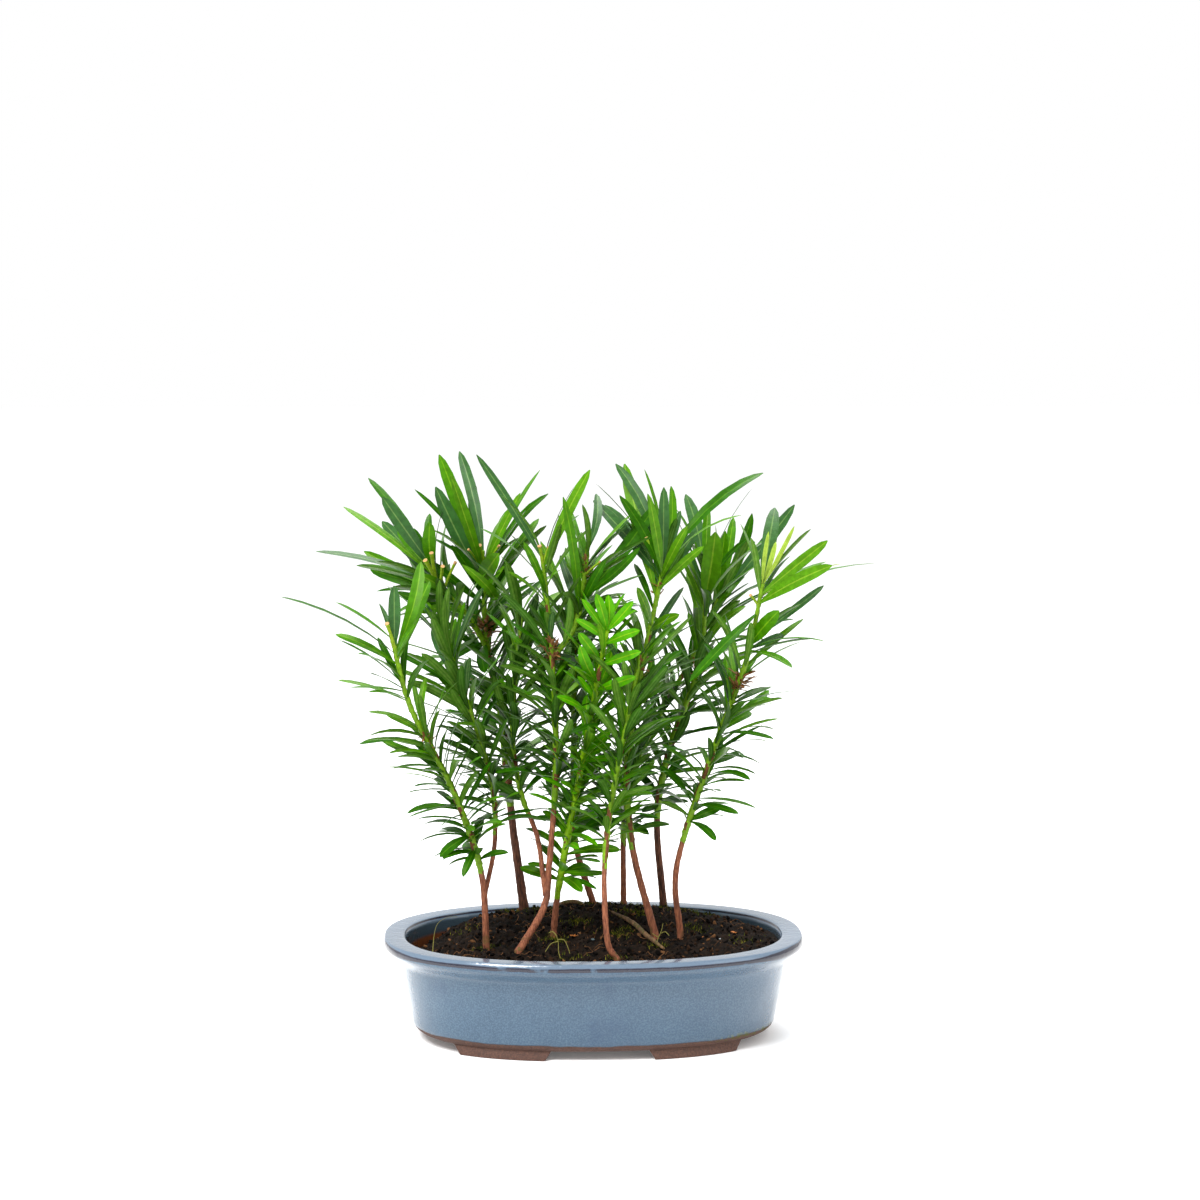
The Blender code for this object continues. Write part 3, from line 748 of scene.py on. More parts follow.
@dataclass
class Pot:
    """The glazed oval pot on four low feet, with two drain holes."""

    site: Site
    oval: Oval = field(default_factory=Oval)
    sides: int = 192
    section: tuple[tuple[float, float], ...] = (
        (19.4, 5.0), (17.4, 6.4), (15.7, 9.6), (13.6, 20.0), (11.6, 31.0), (10.0, 39.5),
        (8.2, 43.6), (2.4, 48.6), (0.3, 50.8), (0.0, 52.8), (0.9, 55.0), (2.6, 55.5),
        (10.6, 55.3), (12.0, 54.2), (13.2, 50.0), (16.0, 28.0), (19.0, 13.5), (22.5, 9.5),
    )
    outer_edge: int = 9
    inner_edge: int = 13
    foot_from: float = 27.0
    foot_to: float = 76.0
    foot_slant: float = 2.2
    foot_band: float = 14.0
    foot_cuts: int = 15
    drain_at: float = 40.0
    drain_radius: float = 6.0

    def build(self) -> None:
        """Build the pot's body, fuse its feet on, cut its drains and glaze it."""
        profile = self.profile()
        rings = [[self.site.point(p) for p in self.oval.ring(inset, height, self.sides)]
                 for inset, height in profile]
        pot = ring_shell("pot_glazed", rings)
        self.keep_section(pot, profile)
        combine(pot, self.feet(), "UNION")
        for side in (-1, 1):
            start()
            bpy.ops.mesh.primitive_cylinder_add(
                vertices=40, radius=self.drain_radius * MM, depth=14 * MM,
                location=self.site.point((side * self.drain_at, 0, 8)))
            combine(pot, take("drain"), "DIFFERENCE")
        smooth(pot, 38)
        edges = [self.along(profile, self.section[k]) for k in (self.outer_edge, self.inner_edge)]
        dress(pot, GlazeFinish(*edges).material())
        hand_over(pot, "glaze", "pot")

    def profile(self) -> list[tuple[float, float]]:
        """The section with smooth curves between its points."""
        run = [(height, inset, 0.0) for inset, height in self.section]
        knots = smooth_run(run, 0.9)
        return [self.section[0]] + [(max(0.0, p.x), p.z) for p in knots[1:-1]] + [self.section[-1]]

    @staticmethod
    def along(profile: Sequence[tuple[float, float]], target: tuple[float, float]) -> float:
        """The distance up and over the section to a point on it, in millimetres."""
        total, best, found = 0.0, math.inf, 0.0
        for a, b in zip(profile, profile[1:]):
            total += math.dist(a, b)
            if math.dist(b, target) < best:
                best, found = math.dist(b, target), total
        return found

    def keep_section(self, pot: bpy.types.Object, profile: Sequence[tuple[float, float]]) -> None:
        """Write each corner's place on the outline and along the section into a UV map."""
        lengths = [0.0]
        for a, b in zip(profile, profile[1:]):
            lengths.append(lengths[-1] + math.dist(a, b))
        layer = pot.data.uv_layers.new(name="section")
        for loop in pot.data.loops:
            ring, k = divmod(loop.vertex_index, self.sides)
            layer.uv[loop.index].vector = (k / self.sides, lengths[ring] / 100)

    def feet(self) -> bpy.types.Object:
        """The four feet, each a block cut along its length and bent to the outline."""
        feet = []
        for side_x in (-1, 1):
            for side_y in (-1, 1):
                start()
                bpy.ops.mesh.primitive_cube_add(size=1.0)
                foot = take("foot")
                bpy.ops.object.mode_set(mode="EDIT")
                mesh = bmesh.from_edit_mesh(foot.data)
                for edge in mesh.edges:
                    edge.select = abs(edge.verts[0].co.x - edge.verts[1].co.x) > 0.5
                bmesh.update_edit_mesh(foot.data)
                bpy.ops.mesh.subdivide_edgering(number_cuts=self.foot_cuts)
                bpy.ops.object.mode_set(mode="OBJECT")
                for vertex in foot.data.vertices:
                    vertex.co = self.foot_point(vertex.co, side_x, side_y)
                face_outwards(foot)
                rounding = foot.modifiers.new("rounding", "BEVEL")
                rounding.width, rounding.segments = 0.6 * MM, 2
                rounding.angle_limit = math.radians(50)
                apply_modifiers(foot)
                feet.append(foot)
        return fuse(feet, "feet")

    def foot_point(self, corner: Vector, side_x: int, side_y: int) -> Vector:
        """Where a point of a unit block goes on a foot: slanted ends, sides along the outline."""
        low = corner.z < 0
        slant = self.foot_slant if low else -self.foot_slant
        begin, end = self.foot_from + slant, self.foot_to - slant
        x = begin + (end - begin) * (corner.x + 0.5)
        outer, inner = (17.6, 18.8 + self.foot_band) if low else (19.6, 19.6 + self.foot_band)
        y = self.oval.depth(x, outer if corner.y < 0 else inner)
        return self.site.point((side_x * x, side_y * y, 0.0 if low else 7.0))


# Soil


@dataclass(frozen=True)
class Ground:
    """The soil's surface: mounded at the rear, low at the left end and crumbly all over."""

    oval: Oval
    edge: float = 50.0
    mound: tuple[float, float, float, float, float] = (12.0, 5.0, 38.0, 80.0, 45.0)
    dip: float = 9.0
    dip_from: float = 62.0
    dip_over: float = 34.0

    def height(self, x: float, y: float) -> float:
        """The smooth surface's height at a place."""
        out = self.oval.share(x, y, 13.0)
        rise, at_x, at_y, long, wide = self.mound
        away = ((x - at_x) / long) ** 2 + ((y - at_y) / wide) ** 2
        t = min(1.0, max(0.0, (-x - self.dip_from) / self.dip_over))
        top = rise * math.exp(-away) * max(0.0, 1 - out ** 8)
        return self.edge + top - self.dip * t * t * (3 - 2 * t)

    def crumbs(self, x: float, y: float) -> float:
        """How far lumps and pits move the surface at a place."""
        lumps = noise.noise(Vector((x, y, 3.0)) / 8.0) * 2.0
        grains = noise.noise(Vector((x, y, 9.0)) / 2.8) * 2.3
        specks = noise.noise(Vector((x, y, 5.0)) / 1.2) * 0.6
        return lumps + grains + specks - 0.3

    def inset(self, height: float) -> float:
        """How far in the pot's wall is at a height, where the soil meets it."""
        return 13.2 + (50.0 - height) * 0.127 + 0.1

    def spot(self, x: float, y: float) -> Vector:
        """The place on the crumbly surface at x and y."""
        return Vector((x, y, self.height(x, y) + self.crumbs(x, y)))


@dataclass
class Soil:
    """Dark peat with clods, moss, threads of root, straw and a few fallen bits."""

    site: Site
    ground: Ground
    rng: random.Random
    cells: int = 150
    clods: int = 5200
    moss_patches: tuple[tuple[float, float, float, int], ...] = (
        (36, 50, 12, 420), (6, 48, 12, 400), (-22, -9, 7, 260), (-8, 12, 9, 240),
        (14, -2, 8, 200), (-42, 54, 10, 260), (34, -22, 6, 160), (58, 46, 12, 300),
        (-60, -20, 6, 120), (24, 26, 10, 260), (-28, 36, 12, 220), (80, -8, 10, 60),
        (-70, 20, 12, 70), (-14, -46, 8, 90), (10, -49, 5, 110), (56, 8, 8, 120),
    )
    threads: int = 90

    def build(self) -> None:
        """Build the surface, then everything that lies on it."""
        self.surface()
        self.scatter_clods()
        self.grow_moss()
        self.lay_threads()
        self.lay_litter()

    def surface(self) -> None:
        """The soil's body: a grid drawn out to the pot's oval, with sides and a level underside."""
        start()
        bpy.ops.mesh.primitive_grid_add(x_subdivisions=self.cells, y_subdivisions=self.cells, size=2)
        soil = take("soil_surface")
        bpy.ops.object.mode_set(mode="EDIT")
        bpy.ops.mesh.select_all(action="SELECT")
        bpy.ops.mesh.region_to_loop()
        edge = [v.index for v in bmesh.from_edit_mesh(soil.data).verts if v.select]
        count = len(soil.data.vertices)
        bpy.ops.mesh.extrude_edges_move()
        rims = [[v.index for v in bmesh.from_edit_mesh(soil.data).verts if v.select]]
        bpy.ops.mesh.extrude_edges_move()
        rims.append([v.index for v in bmesh.from_edit_mesh(soil.data).verts if v.select])
        bpy.ops.mesh.edge_face_add()
        bpy.ops.object.mode_set(mode="OBJECT")
        vertices = soil.data.vertices
        for k in range(count):
            x, y, out = self.drawn_out(vertices[k].co.x, vertices[k].co.y)
            spot = self.ground.spot(x, y)
            spot.z -= self.ground.crumbs(x, y) * max(0.0, (out - 0.94) / 0.06)
            vertices[k].co = self.site.point(spot)
        for rim, inset, height in zip(rims, (17.0, 22.9), (28.0, 9.8)):
            for index, above in zip(rim, edge):
                place = (vertices[above].co.x - self.site.x, vertices[above].co.y - self.site.y)
                shrink = 1 / max(1e-6, self.ground.oval.share(place[0] / MM, place[1] / MM, inset))
                vertices[index].co = (place[0] * shrink + self.site.x, place[1] * shrink + self.site.y,
                                      height * MM)
        face_outwards(soil)
        smooth(soil, 60)
        dress(soil, SoilFinish("peat", paint(3, 2, 1), paint(32, 21, 13)).material())
        hand_over(soil, "soil", "soil")

    def drawn_out(self, a: float, b: float) -> tuple[float, float, float]:
        """Where a point of the square grid goes on the soil.

        Args:
            a, b: the point on the square, from -1 to 1.

        Returns:
            Its x and y in the pot, and how far out it is from 0 to 1.
        """
        x, y = a * math.sqrt(1 - b * b / 2), b * math.sqrt(1 - a * a / 2)
        out = min(1.0, math.hypot(x, y))
        if out < 1e-9:
            return 0.0, 0.0, 0.0
        for _ in range(2):
            reach = 1 / self.ground.oval.share(x / out, y / out, 13.3)
            level = self.ground.height(x / out * reach, y / out * reach)
            reach = 1 / self.ground.oval.share(x / out, y / out, self.ground.inset(level))
        return x * reach, y * reach, out

    def somewhere(self, inset: float = 15.0) -> tuple[float, float]:
        """A random place on the soil, away from the wall by an inset of the outline."""
        while True:
            x, y = self.rng.uniform(-102, 102), self.rng.uniform(-74, 74)
            if self.ground.oval.share(x, y, inset) < 1:
                return x, y

    def scatter_clods(self) -> None:
        """Thousands of small angular clods of peat, joined as one piece in three tones."""
        start()
        bpy.ops.mesh.primitive_ico_sphere_add(subdivisions=1, radius=1.0)
        model, faces = mesh_arrays(take("clod"))
        numbers = np.random.default_rng(SEED)
        points = np.empty((self.clods, len(model), 3))
        for k in range(self.clods):
            size = 0.25 + 1.3 * self.rng.random() ** 5
            turn = np.linalg.qr(numbers.normal(size=(3, 3)))[0]
            shape = model * numbers.uniform(0.65, 1.25, (len(model), 1)) * (1.25, 0.9, 0.7)
            x, y = self.somewhere(14.6 + size)
            points[k] = shape @ turn.T * size + np.array(self.ground.spot(x, y)) + (0, 0, size * 0.25)
        zones = np.repeat(numbers.choice(3, self.clods, p=(0.6, 0.32, 0.08)), len(faces))
        clods = from_arrays("soil_clods", self.site.points(points), faces, zones)
        dress(clods, shared("clod_dark", lambda n: PlainFinish(n, paint(8, 5, 4), 0.85, gloss=0.06)),
              shared("clod_brown", lambda n: PlainFinish(n, paint(46, 31, 20), 0.9, gloss=0.06)),
              shared("clod_tan", lambda n: PlainFinish(n, paint(104, 72, 46), 0.9, gloss=0.06)))
        hand_over(clods, "soil")

    def grow_moss(self) -> None:
        """Tufts of short moss blades in patches, thickest round the stems at the rear."""
        start()
        bpy.ops.mesh.primitive_cone_add(vertices=3, radius1=1.0, radius2=0.0, depth=1.0,
                                        location=(0, 0, 0.5))
        bpy.ops.object.transform_apply(location=True, rotation=False, scale=False)
        model, faces = mesh_arrays(take("moss_blade"))
        numbers = np.random.default_rng(SEED + 1)
        rows = []
        for at_x, at_y, spread, count in self.moss_patches:
            for _ in range(count):
                x, y = self.rng.gauss(at_x, spread * 0.55), self.rng.gauss(at_y, spread * 0.4)
                if self.ground.oval.share(x, y, 16.0) < 1:
                    lean = numbers.normal(0, 0.55, 2)
                    tall, thick = numbers.uniform(0.8, 2.8), numbers.uniform(0.14, 0.3)
                    blade = model * (thick, thick, tall)
                    blade[:, :2] += blade[:, 2:] * lean
                    rows.append(blade + np.array(self.ground.spot(x, y)) - (0, 0, 0.3))
        zones = np.repeat(numbers.choice(3, len(rows), p=(0.45, 0.35, 0.2)), len(faces))
        moss = from_arrays("moss", self.site.points(np.array(rows)), faces, zones)
        dress(moss, shared("moss_green", lambda n: PlainFinish(n, paint(74, 82, 20), 0.9, gloss=0.06)),
              shared("moss_dark", lambda n: PlainFinish(n, paint(38, 44, 12), 0.9, gloss=0.06)),
              shared("moss_yellow", lambda n: PlainFinish(n, paint(120, 116, 36), 0.9, gloss=0.06)))
        hand_over(moss, "soil")

    def thread(self, x: float, y: float, length: float, lift: float) -> Run:
        """A thin bent strand lying on the soil.

        Args:
            x, y: where it starts.
            length: its length.
            lift: how far its middle arches up.

        Returns:
            Its points and radii.
        """
        turn, bend = self.rng.uniform(0, math.tau), self.rng.uniform(-0.25, 0.25)
        points = []
        for k in range(9):
            points.append(self.ground.spot(x, y) + Vector((0, 0, 0.2 + lift * math.sin(math.pi * k / 8))))
            x, y = x + length / 8 * math.cos(turn), y + length / 8 * math.sin(turn)
            turn += bend + self.rng.uniform(-0.3, 0.3)
        thick = self.rng.uniform(0.12, 0.3)
        return points, [thick * (1 - 0.6 * k / 8) for k in range(9)]

    def lay_threads(self) -> None:
        """Fine roots and fibres that lie all over the soil."""
        runs = []
        for _ in range(self.threads):
            x, y = self.somewhere(24.0)
            runs.append(self.thread(x, y, self.rng.uniform(5, 13), self.rng.uniform(0, 1.6)))
        threads = tubes("root_threads", self.site, runs, 0)
        smooth(threads)
        dress(threads, PlainFinish("root_thread", paint(104, 70, 42), 0.8).material())
        hand_over(threads, "soil")

    def lay_litter(self) -> None:
        """A straw stalk over the left end, thin seedling stalks and a few fallen bits."""
        stalks = [
            ((44, -88, 2), (52, -87, 14), (55.5, -85, 26), (56, -80, 40), (54, -74, 52)),
            ((50, -20, -44), (54, -21, -43), (58, -21, -42), (62, -22, -41)),
            ((59, -21, -42), (58, -25, -43), (54, -28, -44)),
            ((60, -21, -42), (60, -18, -43), (56, -16, -44), (53, -15, -45)),
            ((62, -22, -41), (64, -24, -40), (63, -26, -39)),
            ((51, 33, -22), (55, 34, -20), (59, 36, -18), (63, 37, -17)),
            ((56, 34, -20), (58, 31, -20)), ((58, 36, -19), (59, 38, -20), (57, 40, -21)),
        ]
        runs = [(points, [max(0.12, 0.26 - 0.012 * k) for k in range(len(points))])
                for points in (smooth_run(stalk, 1.5) for stalk in stalks)]
        straw = tubes("straw_stalks", self.site, runs, 1)
        smooth(straw)
        dress(straw, PlainFinish("straw", paint(124, 118, 56), 0.7).material())
        hand_over(straw, "soil")
        chips = [(-11, -10, 2.1, "chip_orange", paint(168, 100, 44)),
                 (78, 5, 1.8, "chip_orange", paint(168, 100, 44)),
                 (68, -8, 1.2, "chip_white", paint(214, 220, 224)),
                 (-1, -14, 1.4, "chip_slate", paint(78, 92, 96)),
                 (60, -3, 1.3, "chip_orange", paint(168, 100, 44))]
        pieces: dict[str, list[bpy.types.Object]] = {}
        for x, y, size, name, colour in chips:
            pieces.setdefault(name, []).append(self.chip(x, y, size))
            shared(name, lambda n, c=colour: PlainFinish(n, c, 0.6))
        for name, parts in pieces.items():
            chip = fuse(parts, name + "s")
            smooth(chip, 30)
            dress(chip, bpy.data.materials[name])
            hand_over(chip, "soil")

    def chip(self, x: float, y: float, size: float) -> bpy.types.Object:
        """A thin curled flake of leaf or grit on the soil."""
        start()
        bpy.ops.mesh.primitive_grid_add(x_subdivisions=6, y_subdivisions=4, size=2)
        flake = take("flake")
        turn = self.rng.uniform(0, math.tau)
        spot = self.ground.spot(x, y)
        for vertex in flake.data.vertices:
            a, b = vertex.co.x, vertex.co.y * (1 - 0.35 * vertex.co.x ** 2)
            rise = 0.35 * a * a + 0.2 * b * b + 0.12 * noise.noise(Vector((a, b, x)) * 2)
            offset = Vector((a * math.cos(turn) - 0.6 * b * math.sin(turn),
                             a * math.sin(turn) + 0.6 * b * math.cos(turn), rise + 0.25))
            vertex.co = self.site.point(spot + offset * size)
        wall = flake.modifiers.new("wall", "SOLIDIFY")
        wall.thickness = 0.35 * MM
        apply_modifiers(flake)
        return flake


# Stems


class Grows(Enum):
    """What a stem rises from."""

    SOIL = "trunk"
    STEM = "bough"
    SHOOT = "twig"


@dataclass(frozen=True)
class Long:
    """A leaf set on its own, mostly a long one near the top of a stem.

    It has its height on the stem, the degrees it leans to the right and to the rear, its length,
    how much of its face shows from the front, its tint, and how broad and how arched it is.
    """

    height: float
    lean: float
    back: float
    length: float
    face: float
    tint: Tint
    wide: float = 1.0
    arch: float = 0.06


@dataclass(frozen=True)
class Stem:
    """A seedling's stem, or a side stem of one.

    It has its thickness at the foot, the height where leaves begin, the lengths of its lowest and
    highest leaves, and its run as height, x and y at its foot, its bends and its tip. Its whorls of
    dry scales are rows of height, count and length. Its stubs, cut twigs and stalks, are rows of
    height, degrees leant to the right and to the rear, length and thickness.
    """

    name: str
    thick: float
    bare: float
    low: float
    high: float
    run: tuple[tuple[float, float, float], ...]
    grows: Grows = Grows.SOIL
    parent: str = ""
    long_leaves: tuple[Long, ...] = ()
    whorls: tuple[tuple[float, int, float], ...] = ()
    stubs: tuple[tuple[float, float, float, float, float], ...] = ()
    tip_thick: float = 1.9
    tuft: float = 20.0
    flare: float = 0.05
    flare_over: float = 7.0

    @property
    def mass(self) -> str:
        """The foliage that its leaves belong to."""
        return self.parent if self.grows is Grows.SHOOT else self.name

    @property
    def dark(self) -> bool:
        """Whether its bark is the darker kind."""
        return self.name.startswith("dark")

    @property
    def sparse(self) -> tuple[float, float]:
        """The heights between its whorl and its topmost tuft, where few leaves grow."""
        return (self.whorls[0][0] + 4, self.run[-1][0] - self.tuft) if self.whorls else (0.0, 0.0)

    def radius(self, height: float) -> float:
        """Half its thickness at a height, wider just above the soil."""
        bottom, top = self.run[0][0], self.run[-1][0]
        share = max(0.0, (height - bottom) / (top - bottom))
        thick = self.thick + (self.tip_thick - self.thick) * share ** 0.8
        if self.grows is Grows.SOIL:
            thick *= 1 + self.flare * math.exp(-max(0.0, height - bottom) * 2.2 / self.flare_over)
        return thick / 2

    def split(self, step: float) -> tuple[list[Vector], list[Vector]]:
        """The points of its bare wood and of its leafy shoot."""
        points = smooth_run(self.run, step)
        if self.grows is Grows.SHOOT:
            return [], points
        wood = [p for p in points if p.z < self.bare]
        return points[:len(wood) + 2], points[len(wood):]


# Places read off the photo, turned into millimetres and degrees through the fitted camera
STEMS = (
    Stem("left", 3.8, 93, 19, 38, (
        (51.5, -59, -25), (95, -62, -29), (140, -77, -32), (185, -99, -37), (224, -109, -40)),
        whorls=((166, 12, 5),),
        stubs=((218, -15, -35, 17, 2.2),),
        long_leaves=(
            Long(213, -61, -16, 73, 0, Tint.DEEP, 0.8), Long(207, -64, 13, 38, 0.3, Tint.MID),
            Long(200, -52, -48, 43, 0.1, Tint.MID), Long(193, -83, -14, 30, 0.1, Tint.MID),
            Long(188, -69, -49, 33, 0.4, Tint.MID), Long(216, 0, -17, 36, 1, Tint.TEAL, 1.5),
            Long(211, 26, -40, 30, 0.6, Tint.MID), Long(209, 23, 33, 52, 0.9, Tint.MID, 1.2),
            Long(214, 16, 15, 51, 0.9, Tint.MID, 1.3),
            Long(108, -154, -40, 19, 0.8, Tint.DEEP, 1.5, 0.1),
            Long(114, -122, -10, 20, 0.6, Tint.DEEP, 1.6, 0.15),
            Long(101, 71, -20, 18, 0.7, Tint.DEEP, 1.3, 0.1))),
    Stem("left_rear", 2.8, 112, 22, 44, (
        (80, -60, -25), (112, -54, -16), (150, -58, -11), (219, -81, -2)),
        Grows.STEM, "left",
        whorls=((190, 14, 6),)),
    Stem("dark_left", 5.5, 116, 24, 46, (
        (57, -36, 54), (110, -43, 52), (170, -49, 49), (210, -57, 45), (262, -59, 39)),
        whorls=((217, 46, 8), (205, 16, 6)),
        stubs=(
            (252, -10, -35, 17, 2.6), (250, -33, -35, 19, 1.3), (250, 30, -25, 19, 1.4)),
        long_leaves=(
            Long(257, -12, 24, 68, 0.8, Tint.TEAL), Long(249, -18, -27, 66, 1, Tint.FRESH),
            Long(248, -20, 8, 76, 0.8, Tint.MID, 1.15), Long(244, -26, -8, 61, 1, Tint.TEAL, 1.5),
            Long(259, -6, 40, 50, 0.8, Tint.DEEP, 1.05), Long(246, 28, 10, 69, 0.1, Tint.MID, 0.7),
            Long(251, 25, -10, 49, 0.7, Tint.FRESH), Long(235, 33, 20, 72, 0, Tint.DEEP, 0.7, 0.12),
            Long(234, 36, 28, 61, 0.2, Tint.MID, 0.9), Long(250, -39, -2, 60, 0, Tint.DEEP, 0.6),
            Long(227, -23, -45, 46, 0.7, Tint.FRESH, 1.1, 0.3),
            Long(242, 20, -60, 45, 1, Tint.FRESH, 1.9), Long(232, -50, -15, 41, 0.6, Tint.DEEP, 1.2),
            Long(234, -29, -30, 43, 0.8, Tint.DEEP, 1.1), Long(231, 24, -40, 35, 0.7, Tint.FRESH, 1.1))),
    Stem("upper_left", 3.0, 214, 30, 46, (
        (207, -56, 45), (228, -69, 37), (244, -84, 31), (258, -87, 29)),
        Grows.SHOOT, "dark_left",
        stubs=(
            (243, -26, -35, 21, 2.5), (247, -8, -30, 18, 2.4), (242, 6, -40, 17, 2.2),
            (240, 22, -25, 20, 1.8)),
        long_leaves=(
            Long(243, -73, -12, 73, 0.1, Tint.TEAL, 0.85), Long(249, -53, 12, 64, 0.3, Tint.FRESH, 0.8),
            Long(252, -34, -14, 51, 1, Tint.TEAL, 1.45, 0.04),
            Long(254, -37, 30, 69, 0.1, Tint.DEEP, 0.8), Long(247, -44, 35, 52, 0.7, Tint.TEAL, 1.3),
            Long(253, -4, -20, 27, 1, Tint.MID, 2.0), Long(239, -50, -45, 25, 1, Tint.FRESH, 1.7, 0.1),
            Long(246, -5, 45, 49, 0.5, Tint.DEEP, 0.9), Long(237, -73, 25, 50, 0.6, Tint.DEEP, 1.2),
            Long(235, -82, -10, 43, 0.1, Tint.DEEP, 0.7, 0.1),
            Long(240, -45, 40, 40, 0.7, Tint.MID, 1.2), Long(232, -78, 5, 36, 0.6, Tint.DEEP, 1.2, 0.1),
            Long(228, -86, -40, 32, 0.7, Tint.FRESH, 1.2, 0.1))),
    Stem("leaning", 4.0, 125, 26, 46, (
        (52, -42, -33), (74, -28, -24), (95, -25, -19), (150, -21, -15), (210, -23, -12),
        (264, -28, -9)),
        whorls=((210, 34, 7),),
        stubs=((258, -12, -20, 11, 2.2), (258, 18, -15, 10, 2.0)),
        long_leaves=(
            Long(261, -32, 8, 69, 0.5, Tint.TEAL, 0.95, -0.05), Long(256, 24, -14, 61, 1, Tint.FRESH),
            Long(239, -22, -32, 42, 0.5, Tint.MID), Long(236, -47, -20, 31, 0.2, Tint.FRESH, 0.8))),
    Stem("leaning_rear", 3.0, 122, 24, 44, (
        (80, -27, -22), (110, -31, -12), (135, -40, -6), (170, -44, 1), (232, -38, 14)),
        Grows.STEM, "leaning"),
    Stem("upper_middle", 2.8, 214, 30, 42, (
        (207, -23, -12), (228, -9, -9), (268, -3, -6)),
        Grows.SHOOT, "leaning",
        whorls=((256, 14, 4.5),),
        stubs=((252, 47, -20, 12, 1.4),),
        long_leaves=(
            Long(230, -8, -18, 70, 0.8, Tint.MID, 0.85), Long(241, 47, -22, 44, 1, Tint.DEEP, 0.9),
            Long(238, 39, 14, 68, 1, Tint.DEEP, 1.1), Long(230, -16, 30, 38, 0.9, Tint.TEAL, 1.0),
            Long(232, 23, -35, 40, 0.8, Tint.DEEP))),
    Stem("middle_rear", 4.0, 96, 22, 46, (
        (60, 3, 50), (100, -8, 44), (150, -9, 34), (234, -9, 27))),
    Stem("bright", 3.6, 75, 23, 30, (
        (55.5, -22, -5), (85, -19, -11), (150, -8, -26), (226, 5, -42)),
        long_leaves=(
            Long(226, -16, -20, 23, 1, Tint.BRIGHT, 1.5), Long(226, 2, -10, 20, 1, Tint.BRIGHT, 1.7),
            Long(225, 39, -20, 23, 1, Tint.BRIGHT, 1.5), Long(224, -35, -15, 24, 0.8, Tint.BRIGHT, 1.2),
            Long(220, -53, -25, 22, 0.8, Tint.BRIGHT, 1.3), Long(218, 65, -25, 22, 1, Tint.BRIGHT, 1.5),
            Long(208, -35, -30, 25, 1, Tint.BRIGHT, 1.5), Long(206, 67, -30, 26, 1, Tint.BRIGHT, 1.4),
            Long(197, -25, -35, 29, 1, Tint.BRIGHT, 1.5), Long(193, 66, -30, 26, 1, Tint.BRIGHT, 1.4),
            Long(86, 98, -35, 24, 0.6, Tint.DEEP, 1.0, 0.15))),
    Stem("front", 3.4, 99, 20, 38, (
        (50.5, 10, -54), (66, 4, -53), (120, 5, -47), (212, 23, -37))),
    Stem("right_rear", 3.5, 92, 20, 46, (
        (60, 20, 51), (110, 21, 54), (150, 32, 58), (200, 60, 62), (236, 76, 63)),
        long_leaves=(
            Long(231, 3, -25, 45, 1, Tint.MID, 1.2), Long(232, 20, -11, 54, 1, Tint.DEEP, 1.1),
            Long(234, 14, 32, 52, 0.6, Tint.MID), Long(230, 40, 11, 74, 0.7, Tint.TEAL, 1.0, 0.02),
            Long(227, -28, 10, 39, 0.7, Tint.TEAL, 1.1))),
    Stem("middle", 4.2, 101, 22, 42, (
        (55.5, 33, -10), (110, 20, -6), (165, 20, -2), (259, 39, 3)),
        whorls=((199, 20, 6), (243, 10, 4.5)),
        stubs=((252, -25, -20, 24, 2.0),),
        long_leaves=(
            Long(254, -23, 25, 69, 0.9, Tint.TEAL), Long(249, -41, 20, 58, 0.8, Tint.TEAL, 1.35),
            Long(238, -12, 22, 82, 1, Tint.FRESH, 1.1), Long(255, -1, -16, 46, 0.8, Tint.TEAL, 1.2),
            Long(256, 7, 19, 45, 0.8, Tint.MID), Long(252, -12, -35, 53, 0.7, Tint.FRESH, 1.1),
            Long(248, 21, -40, 44, 0.8, Tint.FRESH), Long(243, 43, -21, 37, 0.9, Tint.FRESH, 1.1),
            Long(246, 38, 25, 39, 1, Tint.TEAL, 1.4), Long(257, 49, 14, 77, 0.3, Tint.DEEP, 0.95, 0.13),
            Long(249, -27, -14, 53, 0.6, Tint.DEEP), Long(253, -37, 5, 60, 0, Tint.DEEP, 0.6),
            Long(256, -11, 6, 53, 0.1, Tint.MID, 0.5), Long(246, -34, 30, 58, 0.8, Tint.TEAL),
            Long(224, -22, -45, 35, 0.8, Tint.FRESH, 1.3), Long(220, 51, -50, 29, 0.8, Tint.FRESH, 1.4),
            Long(250, 51, -10, 56, 0.0, Tint.FRESH, 0.5, 0.12))),
    Stem("dark_right", 4.4, 108, 22, 46, (
        (58, 43, 54), (110, 39, 51), (150, 46, 47), (200, 62, 42), (252, 65, 36)),
        whorls=((196, 22, 6),),
        long_leaves=(
            Long(240, -9, 34, 62, 0.9, Tint.TEAL, 1.2), Long(234, 4, -37, 50, 1, Tint.FRESH, 2.0),
            Long(241, 23, -19, 69, 0, Tint.TEAL, 0.6), Long(231, 39, -37, 69, 0, Tint.MID, 0.9))),
    Stem("right", 3.6, 106, 20, 44, (
        (55.5, 47, -10), (95, 45, -13), (160, 65, -17), (205, 81, -20), (249, 90, -23)),
        whorls=((194, 36, 7),),
        stubs=((236, -40, -30, 9, 1.6),),
        long_leaves=(
            Long(246, 15, 40, 56, 0.8, Tint.TEAL, 1.4), Long(247, 27, -5, 37, 0.9, Tint.PALE, 0.55),
            Long(247, 3, -25, 34, 0.9, Tint.PALE, 0.55), Long(246, 21, 30, 30, 0.7, Tint.PALE, 0.7),
            Long(242, 49, -12, 47, 1, Tint.FRESH, 1.2), Long(241, 66, 30, 49, 0.2, Tint.MID, 0.9),
            Long(237, 56, -39, 54, 0.9, Tint.FRESH, 1.4), Long(240, 74, 9, 68, 0, Tint.MID, 0.6),
